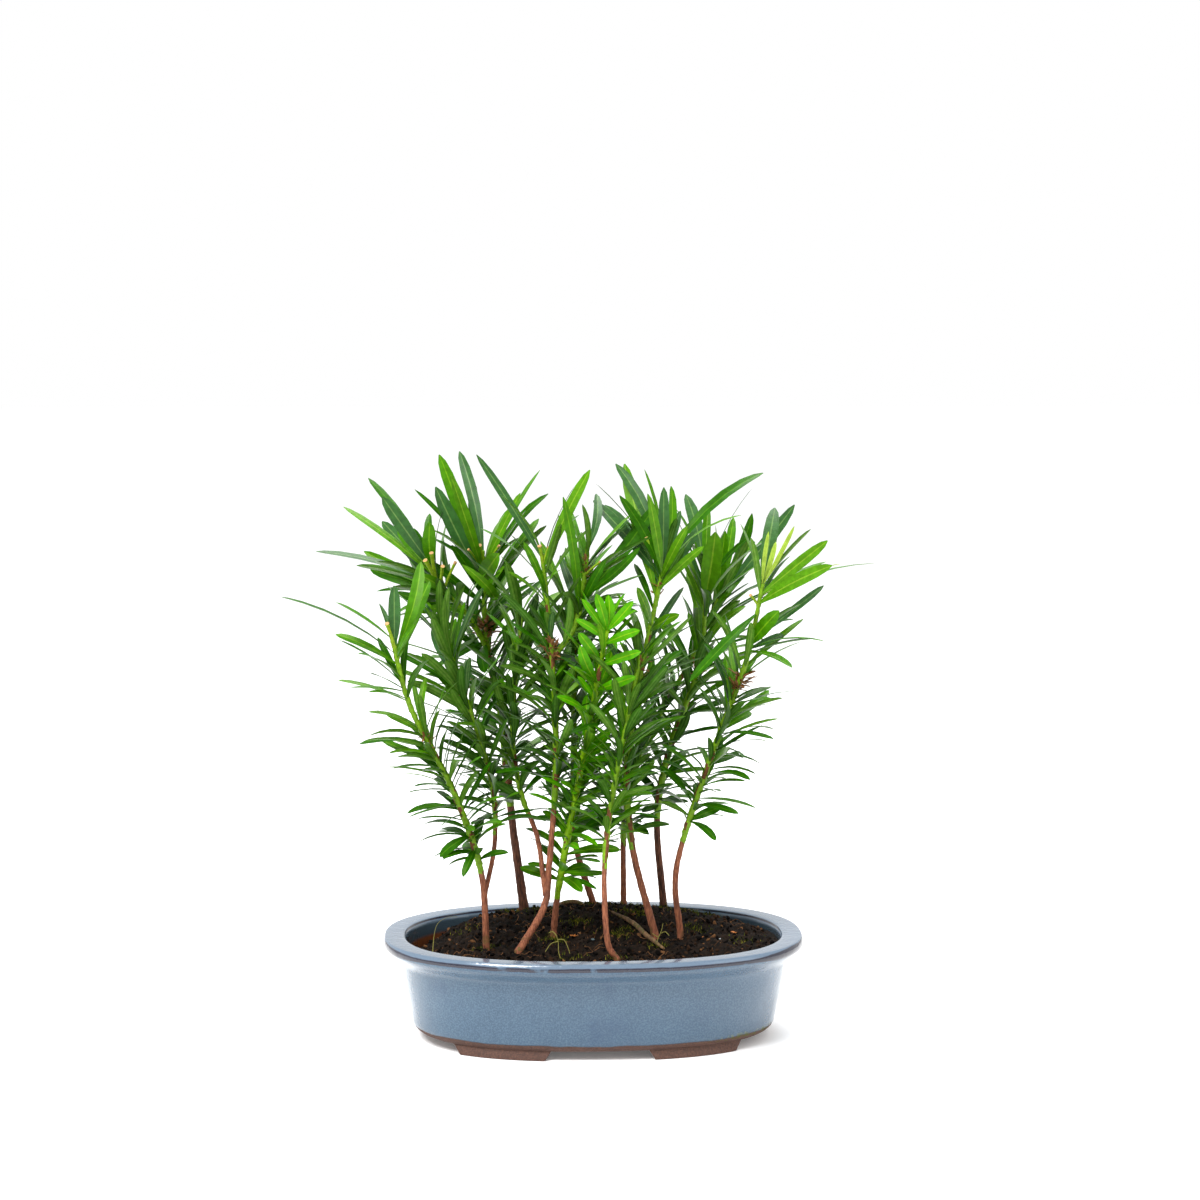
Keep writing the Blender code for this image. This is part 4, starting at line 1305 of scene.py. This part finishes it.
            Long(241, 65, -20, 49, 0, Tint.PALE, 0.5), Long(215, 30, -47, 36, 0.9, Tint.MID, 1.8),
            Long(213, 82, -18, 42, 0, Tint.MID, 0.5, 0.1), Long(213, 69, 20, 22, 0.6, Tint.TEAL, 1.2),
            Long(211, 106, -50, 33, 0.5, Tint.MID, 1.3), Long(223, 81, 40, 32, 0, Tint.DEEP, 0.8),
            Long(233, -131, -28, 58, 0.4, Tint.DEEP, 1.1),
            Long(118, 65, -10, 20, 0.7, Tint.DEEP, 1.5, 0.1))),
)


# Leaves


@dataclass(frozen=True)
class Leaf:
    """One leaf: where it starts and ends, which way its face looks, its width and its arch."""

    root: Vector
    tip: Vector
    normal: Vector
    width: float
    bow: float
    tint: Tint

    @property
    def length(self) -> float:
        """How long it is."""
        return (self.tip - self.root).length

    def axes(self) -> tuple[Vector, Vector, Vector]:
        """Its directions sideways, ahead and out of its face."""
        ahead = (self.tip - self.root).normalized()
        normal = (self.normal - ahead * self.normal.dot(ahead)).normalized()
        return ahead.cross(normal), ahead, normal

    def sleeve(self, spare: float, begin: float = 0.0) -> BVHTree:
        """Coarse faces round the blade, to keep others clear of it.

        Args:
            spare: how far the faces stand off the blade.
            begin: the share of its length where they begin.

        Returns:
            The faces as a search tree.
        """
        side, ahead, normal = self.axes()
        points = []
        for share, wide in ((begin, 0.1), (0.36, 0.5), (0.7, 0.46)):
            middle = self.root + ahead * self.length * share + normal * self.bow * 4 * share * (1 - share)
            for move in (side * (self.width * wide + spare), normal * (0.2 + spare)):
                points += [middle + move, middle - move]
        points.append(self.tip + ahead * spare)
        faces = []
        for a, b in ((0, 4), (4, 8)):
            for one, two in ((0, 2), (2, 1), (1, 3), (3, 0)):
                faces.append((a + one, a + two, b + two, b + one))
        faces += [(8, 10, 12), (10, 9, 12), (9, 11, 12), (11, 8, 12)]
        return BVHTree.FromPolygons(points, faces)


@dataclass(frozen=True)
class Taken:
    """Room that a stem or leaf takes up."""

    mass: str
    kind: str
    centre: Vector
    reach: float
    tree: BVHTree


@dataclass(frozen=True)
class Opening:
    """A round place in the crown that no leaf covers: clear sky, or wood with leaves behind it."""

    height: float
    x: float
    y: float
    radius: float
    sky: bool = True


# Gaps and bare wood found by comparing the photo with an early render, as real places
OPENINGS = (
    Opening(291, -24, 0, 3.9), Opening(294, 68, 0, 3.6), Opening(195, 92, 0, 3.8),
    Opening(217, -94, 0, 3.5), Opening(214, 50, 0, 3.6), Opening(263, -17, 0, 2.8),
    Opening(262, -32, 0, 2.8), Opening(277, 74, 0, 2.6), Opening(253, -40, 0, 2.5),
    Opening(247, -17, 0, 2.6), Opening(170, 58, 0, 2.7), Opening(299, 76, 0, 2.5),
    Opening(200, 100, 0, 2.6), Opening(177, 41, 0, 2.6), Opening(280, -21, 0, 2.4),
    Opening(269, 78, 0, 2.3), Opening(238, 65, 0, 2.4), Opening(267, 0, 0, 2.2),
    Opening(233, -38, 0, 2.2), Opening(161, 58, 0, 2.2), Opening(157, 51, 0, 2.5),
    Opening(216, -58, 44, 5.5, False), Opening(210, -23, -12, 5.5, False),
    Opening(193, 77, -19, 5.0, False), Opening(199, 26, 0, 3.0, False),
    Opening(257, -82, 24, 6.5, False), Opening(262, -60, 34, 5.0, False),
    Opening(263, -2, -12, 4.5, False), Opening(238, 34, 2, 3.0, False),
)


@dataclass
class Growth:
    """The rule that grows leaves along the shoots, each clear of all that grew before it.

    Places looked at along a leaf are shares of its length, each with its half width there.
    """

    site: Site
    rng: random.Random
    turn: float = math.radians(137.5)
    step: float = 1.2
    low_pitch: float = 74.0
    high_pitch: float = 34.0
    pitch_sway: float = 15.0
    droop: float = 0.2
    rolls: tuple[float, ...] = (0.0, 0.3, -0.3, 0.6, -0.6, 0.9, -0.9, 1.2, -1.2)
    low_bow: float = 0.1
    high_bow: float = 0.05
    roll: float = 0.55
    narrow: float = 1.9
    width_per_length: float = 0.07
    sparse_skip: float = 0.72
    tries: int = 7
    root_free: float = 0.3
    clear: float = 0.15
    spare: float = 0.4
    hang: float = 8.0
    eye: tuple[float, float, float] = (-89.8, -1597.5, 388.0)
    wood_gap: float = 2.5
    looked_at: tuple[tuple[float, float], ...] = (
        (0.15, 0.1), (0.4, 0.4), (0.6, 0.4), (0.8, 0.3), (1.0, 0.0))
    taken: list[Taken] = field(default_factory=list)
    leaves: dict[str, list[Leaf]] = field(default_factory=dict)
    limits: dict[str, tuple[Vector, Vector]] = field(default_factory=dict)

    def keep_clear_of(self, stem: Stem, points: Sequence[Vector], kind: str) -> None:
        """Note the room that a stem's wood or shoot takes up."""
        rings = []
        for point, _, side, up in frames(points):
            radius = stem.radius(point.z) + self.clear
            rings += [point + radius * (math.cos(a) * side + math.sin(a) * up)
                      for a in (math.tau * j / 6 for j in range(6))]
        faces = [(r + j, r + (j + 1) % 6, r + 6 + (j + 1) % 6, r + 6 + j)
                 for r in range(0, len(rings) - 6, 6) for j in range(6)]
        self.taken.append(Taken(stem.mass, kind, points[0], 300.0, BVHTree.FromPolygons(rings, faces)))

    def grow(self, shoots: dict[str, list[Vector]]) -> None:
        """Grow the long leaves of all stems, then their spirals side by side."""
        spaced = {}
        for stem in STEMS:
            low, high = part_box("foliage_" + stem.mass)
            self.limits[stem.mass] = (low, high)
            self.leaves.setdefault(stem.mass, [])
            spaced[stem.name] = frames(respace(shoots[stem.name], self.step))
        for stem in STEMS:
            self.grow_long(stem, spaced[stem.name])
        for k in range(1, max(len(places) for places in spaced.values())):
            for stem in STEMS:
                if k < len(spaced[stem.name]):
                    self.grow_spiral(stem, spaced[stem.name], k)

    def grow_long(self, stem: Stem, shoot: Sequence[tuple[Vector, ...]]) -> None:
        """Grow the leaves of a stem that are set on their own, which make the crown's outline."""
        for long in stem.long_leaves:
            frame = min(shoot, key=lambda f, z=long.height: abs(f[0].z - z))
            ahead = heading(long.lean, long.back)
            out = (ahead - frame[1] * ahead.dot(frame[1])).normalized()
            normal = frame[1].lerp(Vector((0, -1, 0.3)), 0.15 + 0.85 * long.face)
            for share, roll in product((1.0, 0.975, 0.94), self.rolls):
                length = long.length * share
                face = Quaternion(ahead, roll) @ normal
                if self.keep_if_free(stem, frame, out, ahead * length, face, long.arch * length,
                                     long.tint, long.wide, heed_sky=False):
                    break
            else:
                LOG.info("no room for the long leaf of %s at %s", stem.name, long.height)

    def grow_spiral(self, stem: Stem, shoot: Sequence[tuple[Vector, ...]], k: int) -> None:
        """Try one leaf of the spiral in a few turns and lengths, and leave it out if none is free."""
        share = min(1.0, k / max(1, len(shoot) - 1))
        frame = shoot[k]
        skip = (share - 0.6) * (1.7 if stem.long_leaves else 1.0)
        if stem.sparse[0] < frame[0].z < stem.sparse[1]:
            skip = max(skip, self.sparse_skip)
        if self.rng.random() < skip:
            return
        for attempt in range(self.tries):
            angle = k * self.turn + attempt * 0.55 * (-1) ** attempt
            out, direction, normal, length = self.spiral_leaf(stem, frame, share, angle)
            length *= 1 - 0.1 * attempt
            bow = (self.low_bow + (self.high_bow - self.low_bow) * share) * length
            bow *= self.rng.uniform(0.2, 1.5)
            tint = self.spiral_tint(stem, frame[0], share)
            wide = (1.25 if stem.name == "bright" else 1.0) + max(0.0, 0.7 - 4 * share)
            if self.keep_if_free(stem, frame, out, direction * length, normal, bow, tint, wide):
                return

    def spiral_leaf(self, stem: Stem, frame: tuple[Vector, ...], share: float,
                    angle: float) -> tuple[Vector, Vector, Vector, float]:
        """Where a leaf of the spiral points, for its place on the stem.

        Args:
            stem: the stem.
            frame: the place on it, with its axes.
            share: how far up the shoot the place is.
            angle: how far round the stem.

        Returns:
            The way out of the stem, the leaf's direction, its face's direction and its length.
        """
        _, ahead, side, up = frame
        pitch = self.low_pitch + (self.high_pitch - self.low_pitch) * share
        pitch += self.rng.uniform(-self.pitch_sway, self.pitch_sway)
        length = (stem.low + (stem.high - stem.low) * share ** 0.6) * self.rng.uniform(0.85, 1.25)
        out = math.cos(angle) * side + math.sin(angle) * up
        direction = math.cos(math.radians(pitch)) * ahead + math.sin(math.radians(pitch)) * out
        direction.z += self.rng.uniform(-0.12, 0.1) - self.droop * max(0.0, 1 - 4 * share)
        direction.normalize()
        normal = (ahead - direction * ahead.dot(direction)).normalized()
        roll = self.rng.uniform(-self.roll, self.roll)
        return out, direction, math.cos(roll) * normal + math.sin(roll) * direction.cross(normal), length

    def spiral_tint(self, stem: Stem, place: Vector, share: float) -> Tint:
        """A leaf's colour: deeper low down and at the rear, fresher towards the tips."""
        if stem.name == "bright":
            return Tint.BRIGHT if share > self.rng.uniform(0.08, 0.5) else Tint.MID
        fresh = share + self.rng.uniform(-0.35, 0.35) - 0.15 * (place.y > 30)
        if fresh > 0.85:
            return self.rng.choice((Tint.FRESH, Tint.FRESH, Tint.MID, Tint.TEAL))
        if fresh > 0.4:
            return self.rng.choice((Tint.MID, Tint.MID, Tint.DEEP, Tint.FRESH))
        return self.rng.choice((Tint.DEEP, Tint.DEEP, Tint.MID))

    def keep_if_free(self, stem: Stem, frame: tuple[Vector, ...], out: Vector, run: Vector,
                     normal: Vector, bow: float, tint: Tint, wide: float = 1.0,
                     heed_sky: bool = True) -> bool:
        """Keep a leaf if it is inside its mass's reach, off the openings and clear of the others.

        Args:
            stem: the stem it grows on.
            frame: the place on the stem, with its axes.
            out: the way out of the stem.
            run: from that place to the leaf's tip.
            normal: the way its face looks.
            bow: how far it arches.
            tint: its colours.
            wide: how much wider than usual it is.
            heed_sky: whether it keeps off the openings on the sky.

        Returns:
            Whether it was kept.
        """
        root = frame[0] - out * stem.radius(frame[0].z) * 0.3
        tip = frame[0] + run
        width = (self.narrow + self.width_per_length * (tip - root).length) * wide
        leaf = Leaf(root, tip, normal, width, bow, tint)
        if self.closes(leaf, heed_sky) or not self.is_free(stem.mass, leaf):
            return False
        self.leaves[stem.mass].append(leaf)
        self.taken.append(Taken(stem.mass, "leaf", (root + tip) / 2, leaf.length / 2 + 1,
                                leaf.sleeve(self.clear / 2)))
        return True

    def is_free(self, mass: str, leaf: Leaf) -> bool:
        """Whether a leaf is within reach, clear of other masses and past its root of its own."""
        low, high = self.limits[mass]
        crest = (leaf.root + leaf.tip) / 2 + leaf.normal.normalized() * leaf.bow
        under = (self.spare, self.spare, -self.hang)
        for place in (self.site.point(leaf.tip), self.site.point(crest)):
            if any(not low[k] + under[k] * MM < place[k] < high[k] - self.spare * MM
                   for k in range(3)):
                return False
        whole, outer = leaf.sleeve(self.clear / 2), leaf.sleeve(0.05, self.root_free)
        middle, reach = (leaf.root + leaf.tip) / 2, leaf.length / 2
        for other in self.taken:
            own = other.mass == mass
            if own and other.kind == "shoot" or (middle - other.centre).length > reach + other.reach:
                continue
            if (outer if own and other.kind == "leaf" else whole).overlap(other.tree):
                return False
        return True

    def closes(self, leaf: Leaf, heed_sky: bool) -> bool:
        """Whether a leaf would cover one of the crown's openings, seen from the front.

        Args:
            leaf: the leaf.
            heed_sky: whether openings on the sky count, or only those on wood.

        Returns:
            True where any of a few places along the leaf lies in front of an opening.
        """
        spots = np.array([(o.x, o.y, o.height) for o in OPENINGS]) - self.eye
        far = np.linalg.norm(spots, axis=1)
        depth = np.where([o.sky for o in OPENINGS], np.inf if heed_sky else 0.0, far - self.wood_gap)
        radii = np.array([o.radius for o in OPENINGS])
        shares, halves = zip(*self.looked_at)
        room = radii[:, None] + leaf.width * np.array(halves)
        places = np.array([leaf.root.lerp(leaf.tip, share) for share in shares]) - self.eye
        ahead = places @ (spots / far[:, None]).T
        aside = np.sqrt(np.maximum(0.0, (places ** 2).sum(axis=1)[:, None] - ahead ** 2)).T
        return bool(((aside < room) & (ahead.T < depth[:, None])).any())


def heading(lean: float, back: float) -> Vector:
    """A direction that leans so many degrees to the right and to the rear of straight up."""
    a, b = math.radians(lean), math.radians(back)
    return Vector((math.sin(a) * math.cos(b), math.sin(b), math.cos(a) * math.cos(b)))


def respace(points: Sequence[Vector], step: float) -> list[Vector]:
    """The same line with a point at every step along it."""
    out, left = [points[0]], step
    for a, b in zip(points, points[1:]):
        while (b - a).length > left:
            a = a + (b - a).normalized() * left
            out.append(a)
            left = step
        left -= (b - a).length
    return out


@dataclass
class LeafModel:
    """One leaf modelled flat, and the numbers that bend a copy of it into each leaf."""

    rows: tuple[float, ...] = (0.0, 0.1, 0.27, 0.47, 0.66, 0.83, 0.94, 1.0)
    widths: tuple[float, ...] = (0.14, 0.32, 0.7, 0.96, 1.0, 0.88, 0.57, 0.1)
    columns: tuple[float, ...] = (-1.0, -0.5, -0.09, 0.09, 0.5, 1.0)
    thick: float = 0.26
    points: np.ndarray = field(init=False)
    faces: np.ndarray = field(init=False)
    zones: np.ndarray = field(init=False)

    def __post_init__(self) -> None:
        """Model the leaf: a sheet, and a copy turned over and welded to it along the rim."""
        start()
        bpy.ops.mesh.primitive_grid_add(x_subdivisions=len(self.columns) - 1,
                                        y_subdivisions=len(self.rows) - 1, size=2)
        sheet = take("leaf_model")
        for k, vertex in enumerate(sheet.data.vertices):
            row, column = divmod(k, len(self.columns))
            rim = column in (0, len(self.columns) - 1) or row in (0, len(self.rows) - 1)
            vertex.co = (self.columns[column], self.rows[row], 0.0 if rim else 1.0)
        bpy.ops.object.mode_set(mode="EDIT")
        bpy.ops.mesh.select_all(action="SELECT")
        bpy.ops.mesh.duplicate()
        bpy.ops.mesh.flip_normals()
        bpy.ops.transform.resize(value=(1, 1, -1), center_override=(0, 0, 0))
        bpy.ops.mesh.select_all(action="SELECT")
        bpy.ops.mesh.remove_doubles(threshold=0.001)
        bpy.ops.mesh.normals_make_consistent(inside=False)
        bpy.ops.object.mode_set(mode="OBJECT")
        self.points = np.array([vertex.co for vertex in sheet.data.vertices])
        self.faces = np.array([tuple(face.vertices) for face in sheet.data.polygons])
        self.zones = np.array([self.zone(face.center) for face in sheet.data.polygons])
        bpy.data.objects.remove(sheet, do_unlink=True)

    @staticmethod
    def zone(centre: Vector) -> int:
        """Which part of the leaf a face is: blade, rib, underside or band."""
        if centre.z > 0:
            return 1 if abs(centre.x) < 0.09 else 0
        return 3 if 0.09 < abs(centre.x) < 0.5 else 2

    def bend(self, leaves: Sequence[Leaf], numbers: np.random.Generator) -> np.ndarray:
        """Bend a copy of the model into each leaf.

        Args:
            leaves: the leaves.
            numbers: gives each its own twist, fold and sway.

        Returns:
            One row of points for each leaf, in millimetres.
        """
        across, along, layer = self.points.T
        axes = np.array([[tuple(axis) for axis in leaf.axes()] for leaf in leaves])
        side, ahead, normal = (axes[:, k, None, :] for k in range(3))
        root = np.array([tuple(leaf.root) for leaf in leaves])[:, None, :]
        length, width, bow = (np.array([value(leaf) for leaf in leaves])[:, None, None] for value in
                              (lambda leaf: leaf.length, lambda leaf: leaf.width, lambda leaf: leaf.bow))
        count = len(leaves)
        twist = numbers.normal(0, 0.28, (count, 1, 1)) * along[None, :, None]
        fold = numbers.uniform(0.0, 0.4, (count, 1, 1))
        sway = numbers.normal(0, 0.025, (count, 1, 1)) * length
        half = width / 2 * np.interp(along, self.rows, self.widths)[None, :, None]
        arch = (4 * along * (1 - along))[None, :, None]
        across, layer, along = across[None, :, None], layer[None, :, None], along[None, :, None]
        centre = root + ahead * length * along + normal * bow * arch + side * sway * arch
        turned_side = side * np.cos(twist) + normal * np.sin(twist)
        turned_normal = normal * np.cos(twist) - side * np.sin(twist)
        lift = fold * np.abs(across) * half + layer * self.thick * (1 - 0.5 * along)
        return centre + turned_side * across * half + turned_normal * lift


@dataclass
class Plant:
    """The group of seedlings: bark, leafy shoots, leaves, scale whorls, cut stubs and roots."""

    site: Site
    rng: random.Random
    growth: Growth = field(init=False)
    wood_step: float = 0.9
    shoot_step: float = 1.4
    shoot_more: float = 1.28
    shoot_swells: float = 8.0
    cut_depth: float = 1.2
    front: tuple[str, ...] = ("left", "leaning", "front", "middle", "right")
    rear: tuple[str, ...] = ("left_rear", "dark_left", "leaning_rear", "middle_rear", "right_rear",
                             "dark_right")
    roots: tuple[tuple[str, float, tuple[tuple[float, float, float], ...]], ...] = (
        ("root_lying", 2.6, ((61.2, 10, 29), (59.0, 22, 5), (56.4, 28, -16), (53.0, 36, -35))),
        ("root_arched", 2.4, ((60.0, -19, 43), (63.2, -13, 44), (63.0, -6, 44), (60.8, -2, 43))),
    )

    def __post_init__(self) -> None:
        """Start the growth rule."""
        self.growth = Growth(self.site, self.rng)

    def build(self) -> None:
        """Build the wood, then the shoots and all that grows on them."""
        shoots = {}
        for stem in STEMS:
            wood, _ = stem.split(self.wood_step)
            if wood:
                self.bark(stem, wood)
                self.growth.keep_clear_of(stem, stem.split(6.0)[0], "wood")
        for stem in STEMS:
            shoots[stem.name] = stem.split(self.shoot_step)[1]
            self.growth.keep_clear_of(stem, stem.split(6.0)[1], "shoot")
        self.growth.grow(shoots)
        model = LeafModel()
        for name, masses in (("rear", self.rear), ("front", self.front), ("bright", ("bright",))):
            leaves = [leaf for mass in masses for leaf in self.growth.leaves[mass]]
            slot = "bright_leaf" if name == "bright" else "leaf"
            piece = self.leaf_piece("leaves_" + name, leaves, model)
            hand_over(piece, slot, *("foliage_" + mass for mass in masses))
            self.shoot_piece("shoots_" + name, [s for s in STEMS if s.mass in masses], shoots, slot)
        self.scales(model, shoots)
        for name, thick, run in self.roots:
            self.root(name, thick, run)

    def bark(self, stem: Stem, wood: Sequence[Vector]) -> None:
        """A trunk or bough as a tube of bark with ridges, a knobbly foot and old leaf scars."""
        foot = [wood[0] - Vector((0, 0, drop)) for drop in (2.7, 1.8, 0.9)]
        points = (foot if stem.grows is Grows.SOIL else []) + list(wood)
        run = (points, [stem.radius(p.z) for p in points])
        obj = tubes("bark_" + stem.name, self.site, [run], 6)
        seed = Vector((self.rng.uniform(0, 90), 0, 0))
        base = stem.run[0][0]

        def relief(place: Vector) -> float:
            """How far the bark stands out at a place."""
            ridge = noise.noise(Vector((place.x * 1.1, place.y * 1.1, place.z * 0.14)) + seed)
            knob = noise.noise(place / 2.2 + seed)
            low = max(0.0, 1 - (place.z - base) / 9)
            return 0.2 * ridge + 0.14 * knob + 0.4 * low * noise.noise(place / 3 + seed)

        roughen(obj, relief)
        smooth(obj, 60)
        if stem.dark:
            finish = shared("bark_dark", lambda n: BarkFinish(
                n, paint(112, 68, 48), paint(66, 38, 27), paint(42, 26, 18)))
        else:
            finish = shared("bark_red", lambda n: BarkFinish(
                n, paint(144, 88, 60), paint(98, 52, 34), paint(67, 37, 26)))
        dress(obj, finish)
        hand_over(obj, "dark_bark" if stem.dark else "bark", f"{stem.grows.value}_{stem.name}")

    def shoot_piece(self, name: str, stems: Sequence[Stem], shoots: dict[str, list[Vector]],
                    slot: str) -> None:
        """The green leafy shoots of several stems, with brown strips and swellings under leaves."""
        runs, twigs = [], []
        for stem in stems:
            points = shoots[stem.name]
            radii = [self.shoot_radius(stem, k, p.z) for k, p in enumerate(points)]
            runs.append((points, radii))
            twigs += [self.stub(points, *stub) for stub in stem.stubs]
        obj = tubes(name, self.site, runs, 3)
        roughen(obj, lambda place: 0.36 * noise.noise(place / 2.0) + 0.14 * noise.noise(place / 0.8))
        smooth(obj, 60)
        bright = slot == "bright_leaf"
        dress(obj, shared("shoot_bright" if bright else "shoot_green", lambda n: PlainFinish(
                  n, paint(122, 166, 12) if bright else paint(106, 146, 14), 0.45, 0.3, 2.0)),
              shared("shoot_brown", lambda n: PlainFinish(n, paint(104, 66, 34), 0.7, 0.4, 1.4)))
        for face in obj.data.polygons:
            place = face.center / MM
            aged = noise.noise(Vector((place.x, place.y, place.z * 0.35)) / 3.4)
            dark = 0.34 if bright else 0.16 + max(0.0, place.z - 110) * 0.0024
            face.material_index = int(aged > dark)
        hand_over(obj, slot)
        if twigs:
            self.stub_piece(name.replace("shoots", "stubs"), twigs, slot)

    def stub_piece(self, name: str, twigs: Sequence[Run], slot: str) -> None:
        """The pale green twigs and stalks that were cut off, with their tan cut ends."""
        obj = tubes(name, self.site, twigs, 3)
        roughen(obj, lambda place: 0.14 * noise.noise(place / 1.5))
        smooth(obj, 50)
        dress(obj, shared("stub_green", lambda n: PlainFinish(n, paint(136, 164, 30), 0.5, 0.3, 2.0)),
              shared("cut_wood", lambda n: PlainFinish(n, paint(190, 148, 100), 0.8, 0.3, 0.8)))
        ends = [self.site.point(points[-1]) for points, _ in twigs]
        for face in obj.data.polygons:
            near = min((face.center - end).length for end in ends)
            face.material_index = int(near < self.cut_depth * MM)
        hand_over(obj, slot)

    def shoot_radius(self, stem: Stem, k: int, height: float) -> float:
        """Half a shoot's thickness at one of its points, fatter than wood by the leaves' bases."""
        share = k * self.shoot_step / self.shoot_swells
        swell = 1 + (self.shoot_more - 1) * min(1.0, share if stem.grows is not Grows.SHOOT else 1.0)
        return stem.radius(height) * swell * (1 + 0.07 * math.sin(k * 1.9))

    @staticmethod
    def stub(shoot: Sequence[Vector], height: float, lean: float, back: float, length: float,
             thick: float) -> Run:
        """A cut twig or stalk that stands out from a shoot.

        Args:
            shoot: the shoot's points.
            height: where it starts on the shoot.
            lean: degrees it leans to the right.
            back: degrees it leans to the rear.
            length: its length.
            thick: its thickness.

        Returns:
            Its points and radii.
        """
        root = min(shoot, key=lambda p: abs(p.z - height))
        ahead = heading(lean, back)
        points = [root + ahead * length * share + Vector((0, 0, 0.12 * length * share * (1 - share)))
                  for share in (0.0, 0.2, 0.4, 0.6, 0.8, 0.93, 1.0)]
        return points, [thick / 2 * (0.8 + 0.3 * abs(2 * k / 6 - 1)) for k in range(7)]

    def leaf_piece(self, name: str, leaves: Sequence[Leaf], model: LeafModel) -> bpy.types.Object:
        """Many leaves as one mesh, each leaf in its own tint.

        Args:
            name: the piece's name.
            leaves: the leaves.
            model: the leaf that is copied.

        Returns:
            The piece.
        """
        tints = sorted({leaf.tint for leaf in leaves}, key=lambda tint: tint.name)
        places = self.site.points(model.bend(leaves, np.random.default_rng(SEED)))
        zones = np.array([tints.index(leaf.tint) * 4 for leaf in leaves])[:, None] + model.zones
        piece = from_arrays(name, places, model.faces, zones)
        smooth(piece, 75)
        dress(piece, *(material for tint in tints for material in tint.materials()))
        LOG.info("%s: %d leaves", name, len(leaves))
        return piece

    def scales(self, model: LeafModel, shoots: dict[str, list[Vector]]) -> None:
        """Whorls of small dry bud scales where each year's growth began."""
        scales = []
        for stem in STEMS:
            places = frames(shoots[stem.name])
            for height, count, size in stem.whorls:
                for k in range(count):
                    z = height + self.rng.uniform(-4, 4)
                    point, ahead, side, up = min(places, key=lambda f: abs(f[0].z - z))
                    angle, pitch = k * 2.4, math.radians(self.rng.uniform(25, 95))
                    out = math.cos(angle) * side + math.sin(angle) * up
                    run = math.cos(pitch) * ahead + math.sin(pitch) * out
                    run = run * size * self.rng.uniform(0.5, 1.3)
                    root = point + out * stem.radius(point.z) * 0.7
                    scales.append(Leaf(root, root + run, ahead, 1.1 + 0.12 * run.length,
                                       self.rng.uniform(-0.1, 0.25) * run.length, Tint.DRY))
        hand_over(self.leaf_piece("bud_scales", scales, model), "bark")

    def root(self, name: str, thick: float, run: tuple[tuple[float, float, float], ...]) -> None:
        """A root that shows above the soil, slimmer towards its ends, in mossy bark."""
        points = smooth_run(run, 0.9)
        last = len(points) - 1
        radii = [thick / 2 * (1 - 0.5 * abs(2 * k / last - 1) ** 3) for k in range(last + 1)]
        obj = tubes(name + "_bark", self.site, [(points, radii)], 4)
        roughen(obj, lambda place: 0.35 * noise.noise(place / 2.0) + 0.12 * noise.noise(place / 0.8))
        smooth(obj, 60)
        dress(obj, shared("root_bark", lambda n: BarkFinish(
            n, paint(122, 94, 62), paint(78, 54, 34), paint(54, 37, 25), moss_top=90.0)))
        hand_over(obj, "dark_bark", name)


# Studio


@dataclass(frozen=True)
class Studio:
    """A pale floor, soft light from all round and the camera."""

    site: Site
    distance: float = 1.6
    height: float = 0.388
    pitch: float = 0.0935
    turn: float = 0.0585
    across: float = 0.0037
    lens: float = 88.86

    def build(self) -> None:
        """Lay the floor, hang the lights and stand the camera."""
        start()
        bpy.ops.mesh.primitive_plane_add(size=24.0)
        floor = take("studio_floor")
        finish = PlainFinish("studio_floor", paint(248, 248, 248), 0.9, 0.01, 400.0, glow=0.1)
        dress(floor, finish.material())
        world = bpy.data.worlds.new("studio")
        bpy.context.scene.world = world
        world.use_nodes = True
        sky = world.node_tree.nodes["Background"]
        sky.inputs["Color"].default_value = (1.0, 1.0, 1.0, 1.0)
        sky.inputs["Strength"].default_value = 1.0
        self.light("key", (-1.0, -1.3, 1.9), 1.0, 75.0)
        self.light("fill", (1.6, -0.9, 0.9), 1.2, 5.5)
        self.light("top", (0.3, 0.7, 1.8), 1.0, 30.0)
        bpy.context.scene.view_settings.view_transform = "Standard"
        self.camera()

    def light(self, name: str, place: Rgb, size: float, power: float) -> None:
        """A soft square light that looks at the plant."""
        start()
        bpy.ops.object.light_add(type="AREA", location=place)
        lamp = bpy.context.object
        lamp.name, lamp.data.size, lamp.data.energy = name, size, power
        lamp.rotation_euler = (Vector((0, 0, 0.12)) - Vector(place)).to_track_quat("-Z", "Y").to_euler()

    def camera(self) -> None:
        """The camera at the photograph's distance, height and angle."""
        start()
        c, s = math.cos(self.turn), math.sin(self.turn)
        place = (self.across * c - self.distance * s + self.site.x,
                 -self.distance * c - self.across * s + self.site.y, self.height)
        bpy.ops.object.camera_add(location=place, rotation=(math.pi / 2 - self.pitch, 0, -self.turn))
        camera = bpy.context.object
        camera.data.lens, camera.data.sensor_width = self.lens, 36.0
        camera.data.clip_start = 0.05
        bpy.context.scene.camera = camera


def main() -> None:
    """Load the frame and build everything on it, logging each part."""
    logging.basicConfig(level=logging.INFO, format="%(message)s")
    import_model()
    site = Site.read()
    oval = Oval()
    for part in (Studio(site), Pot(site, oval), Soil(site, Ground(oval), random.Random(SEED)),
                 Plant(site, random.Random(SEED))):
        LOG.info("building %s", type(part).__name__)
        part.build()


if __name__ == "__main__":
    main()
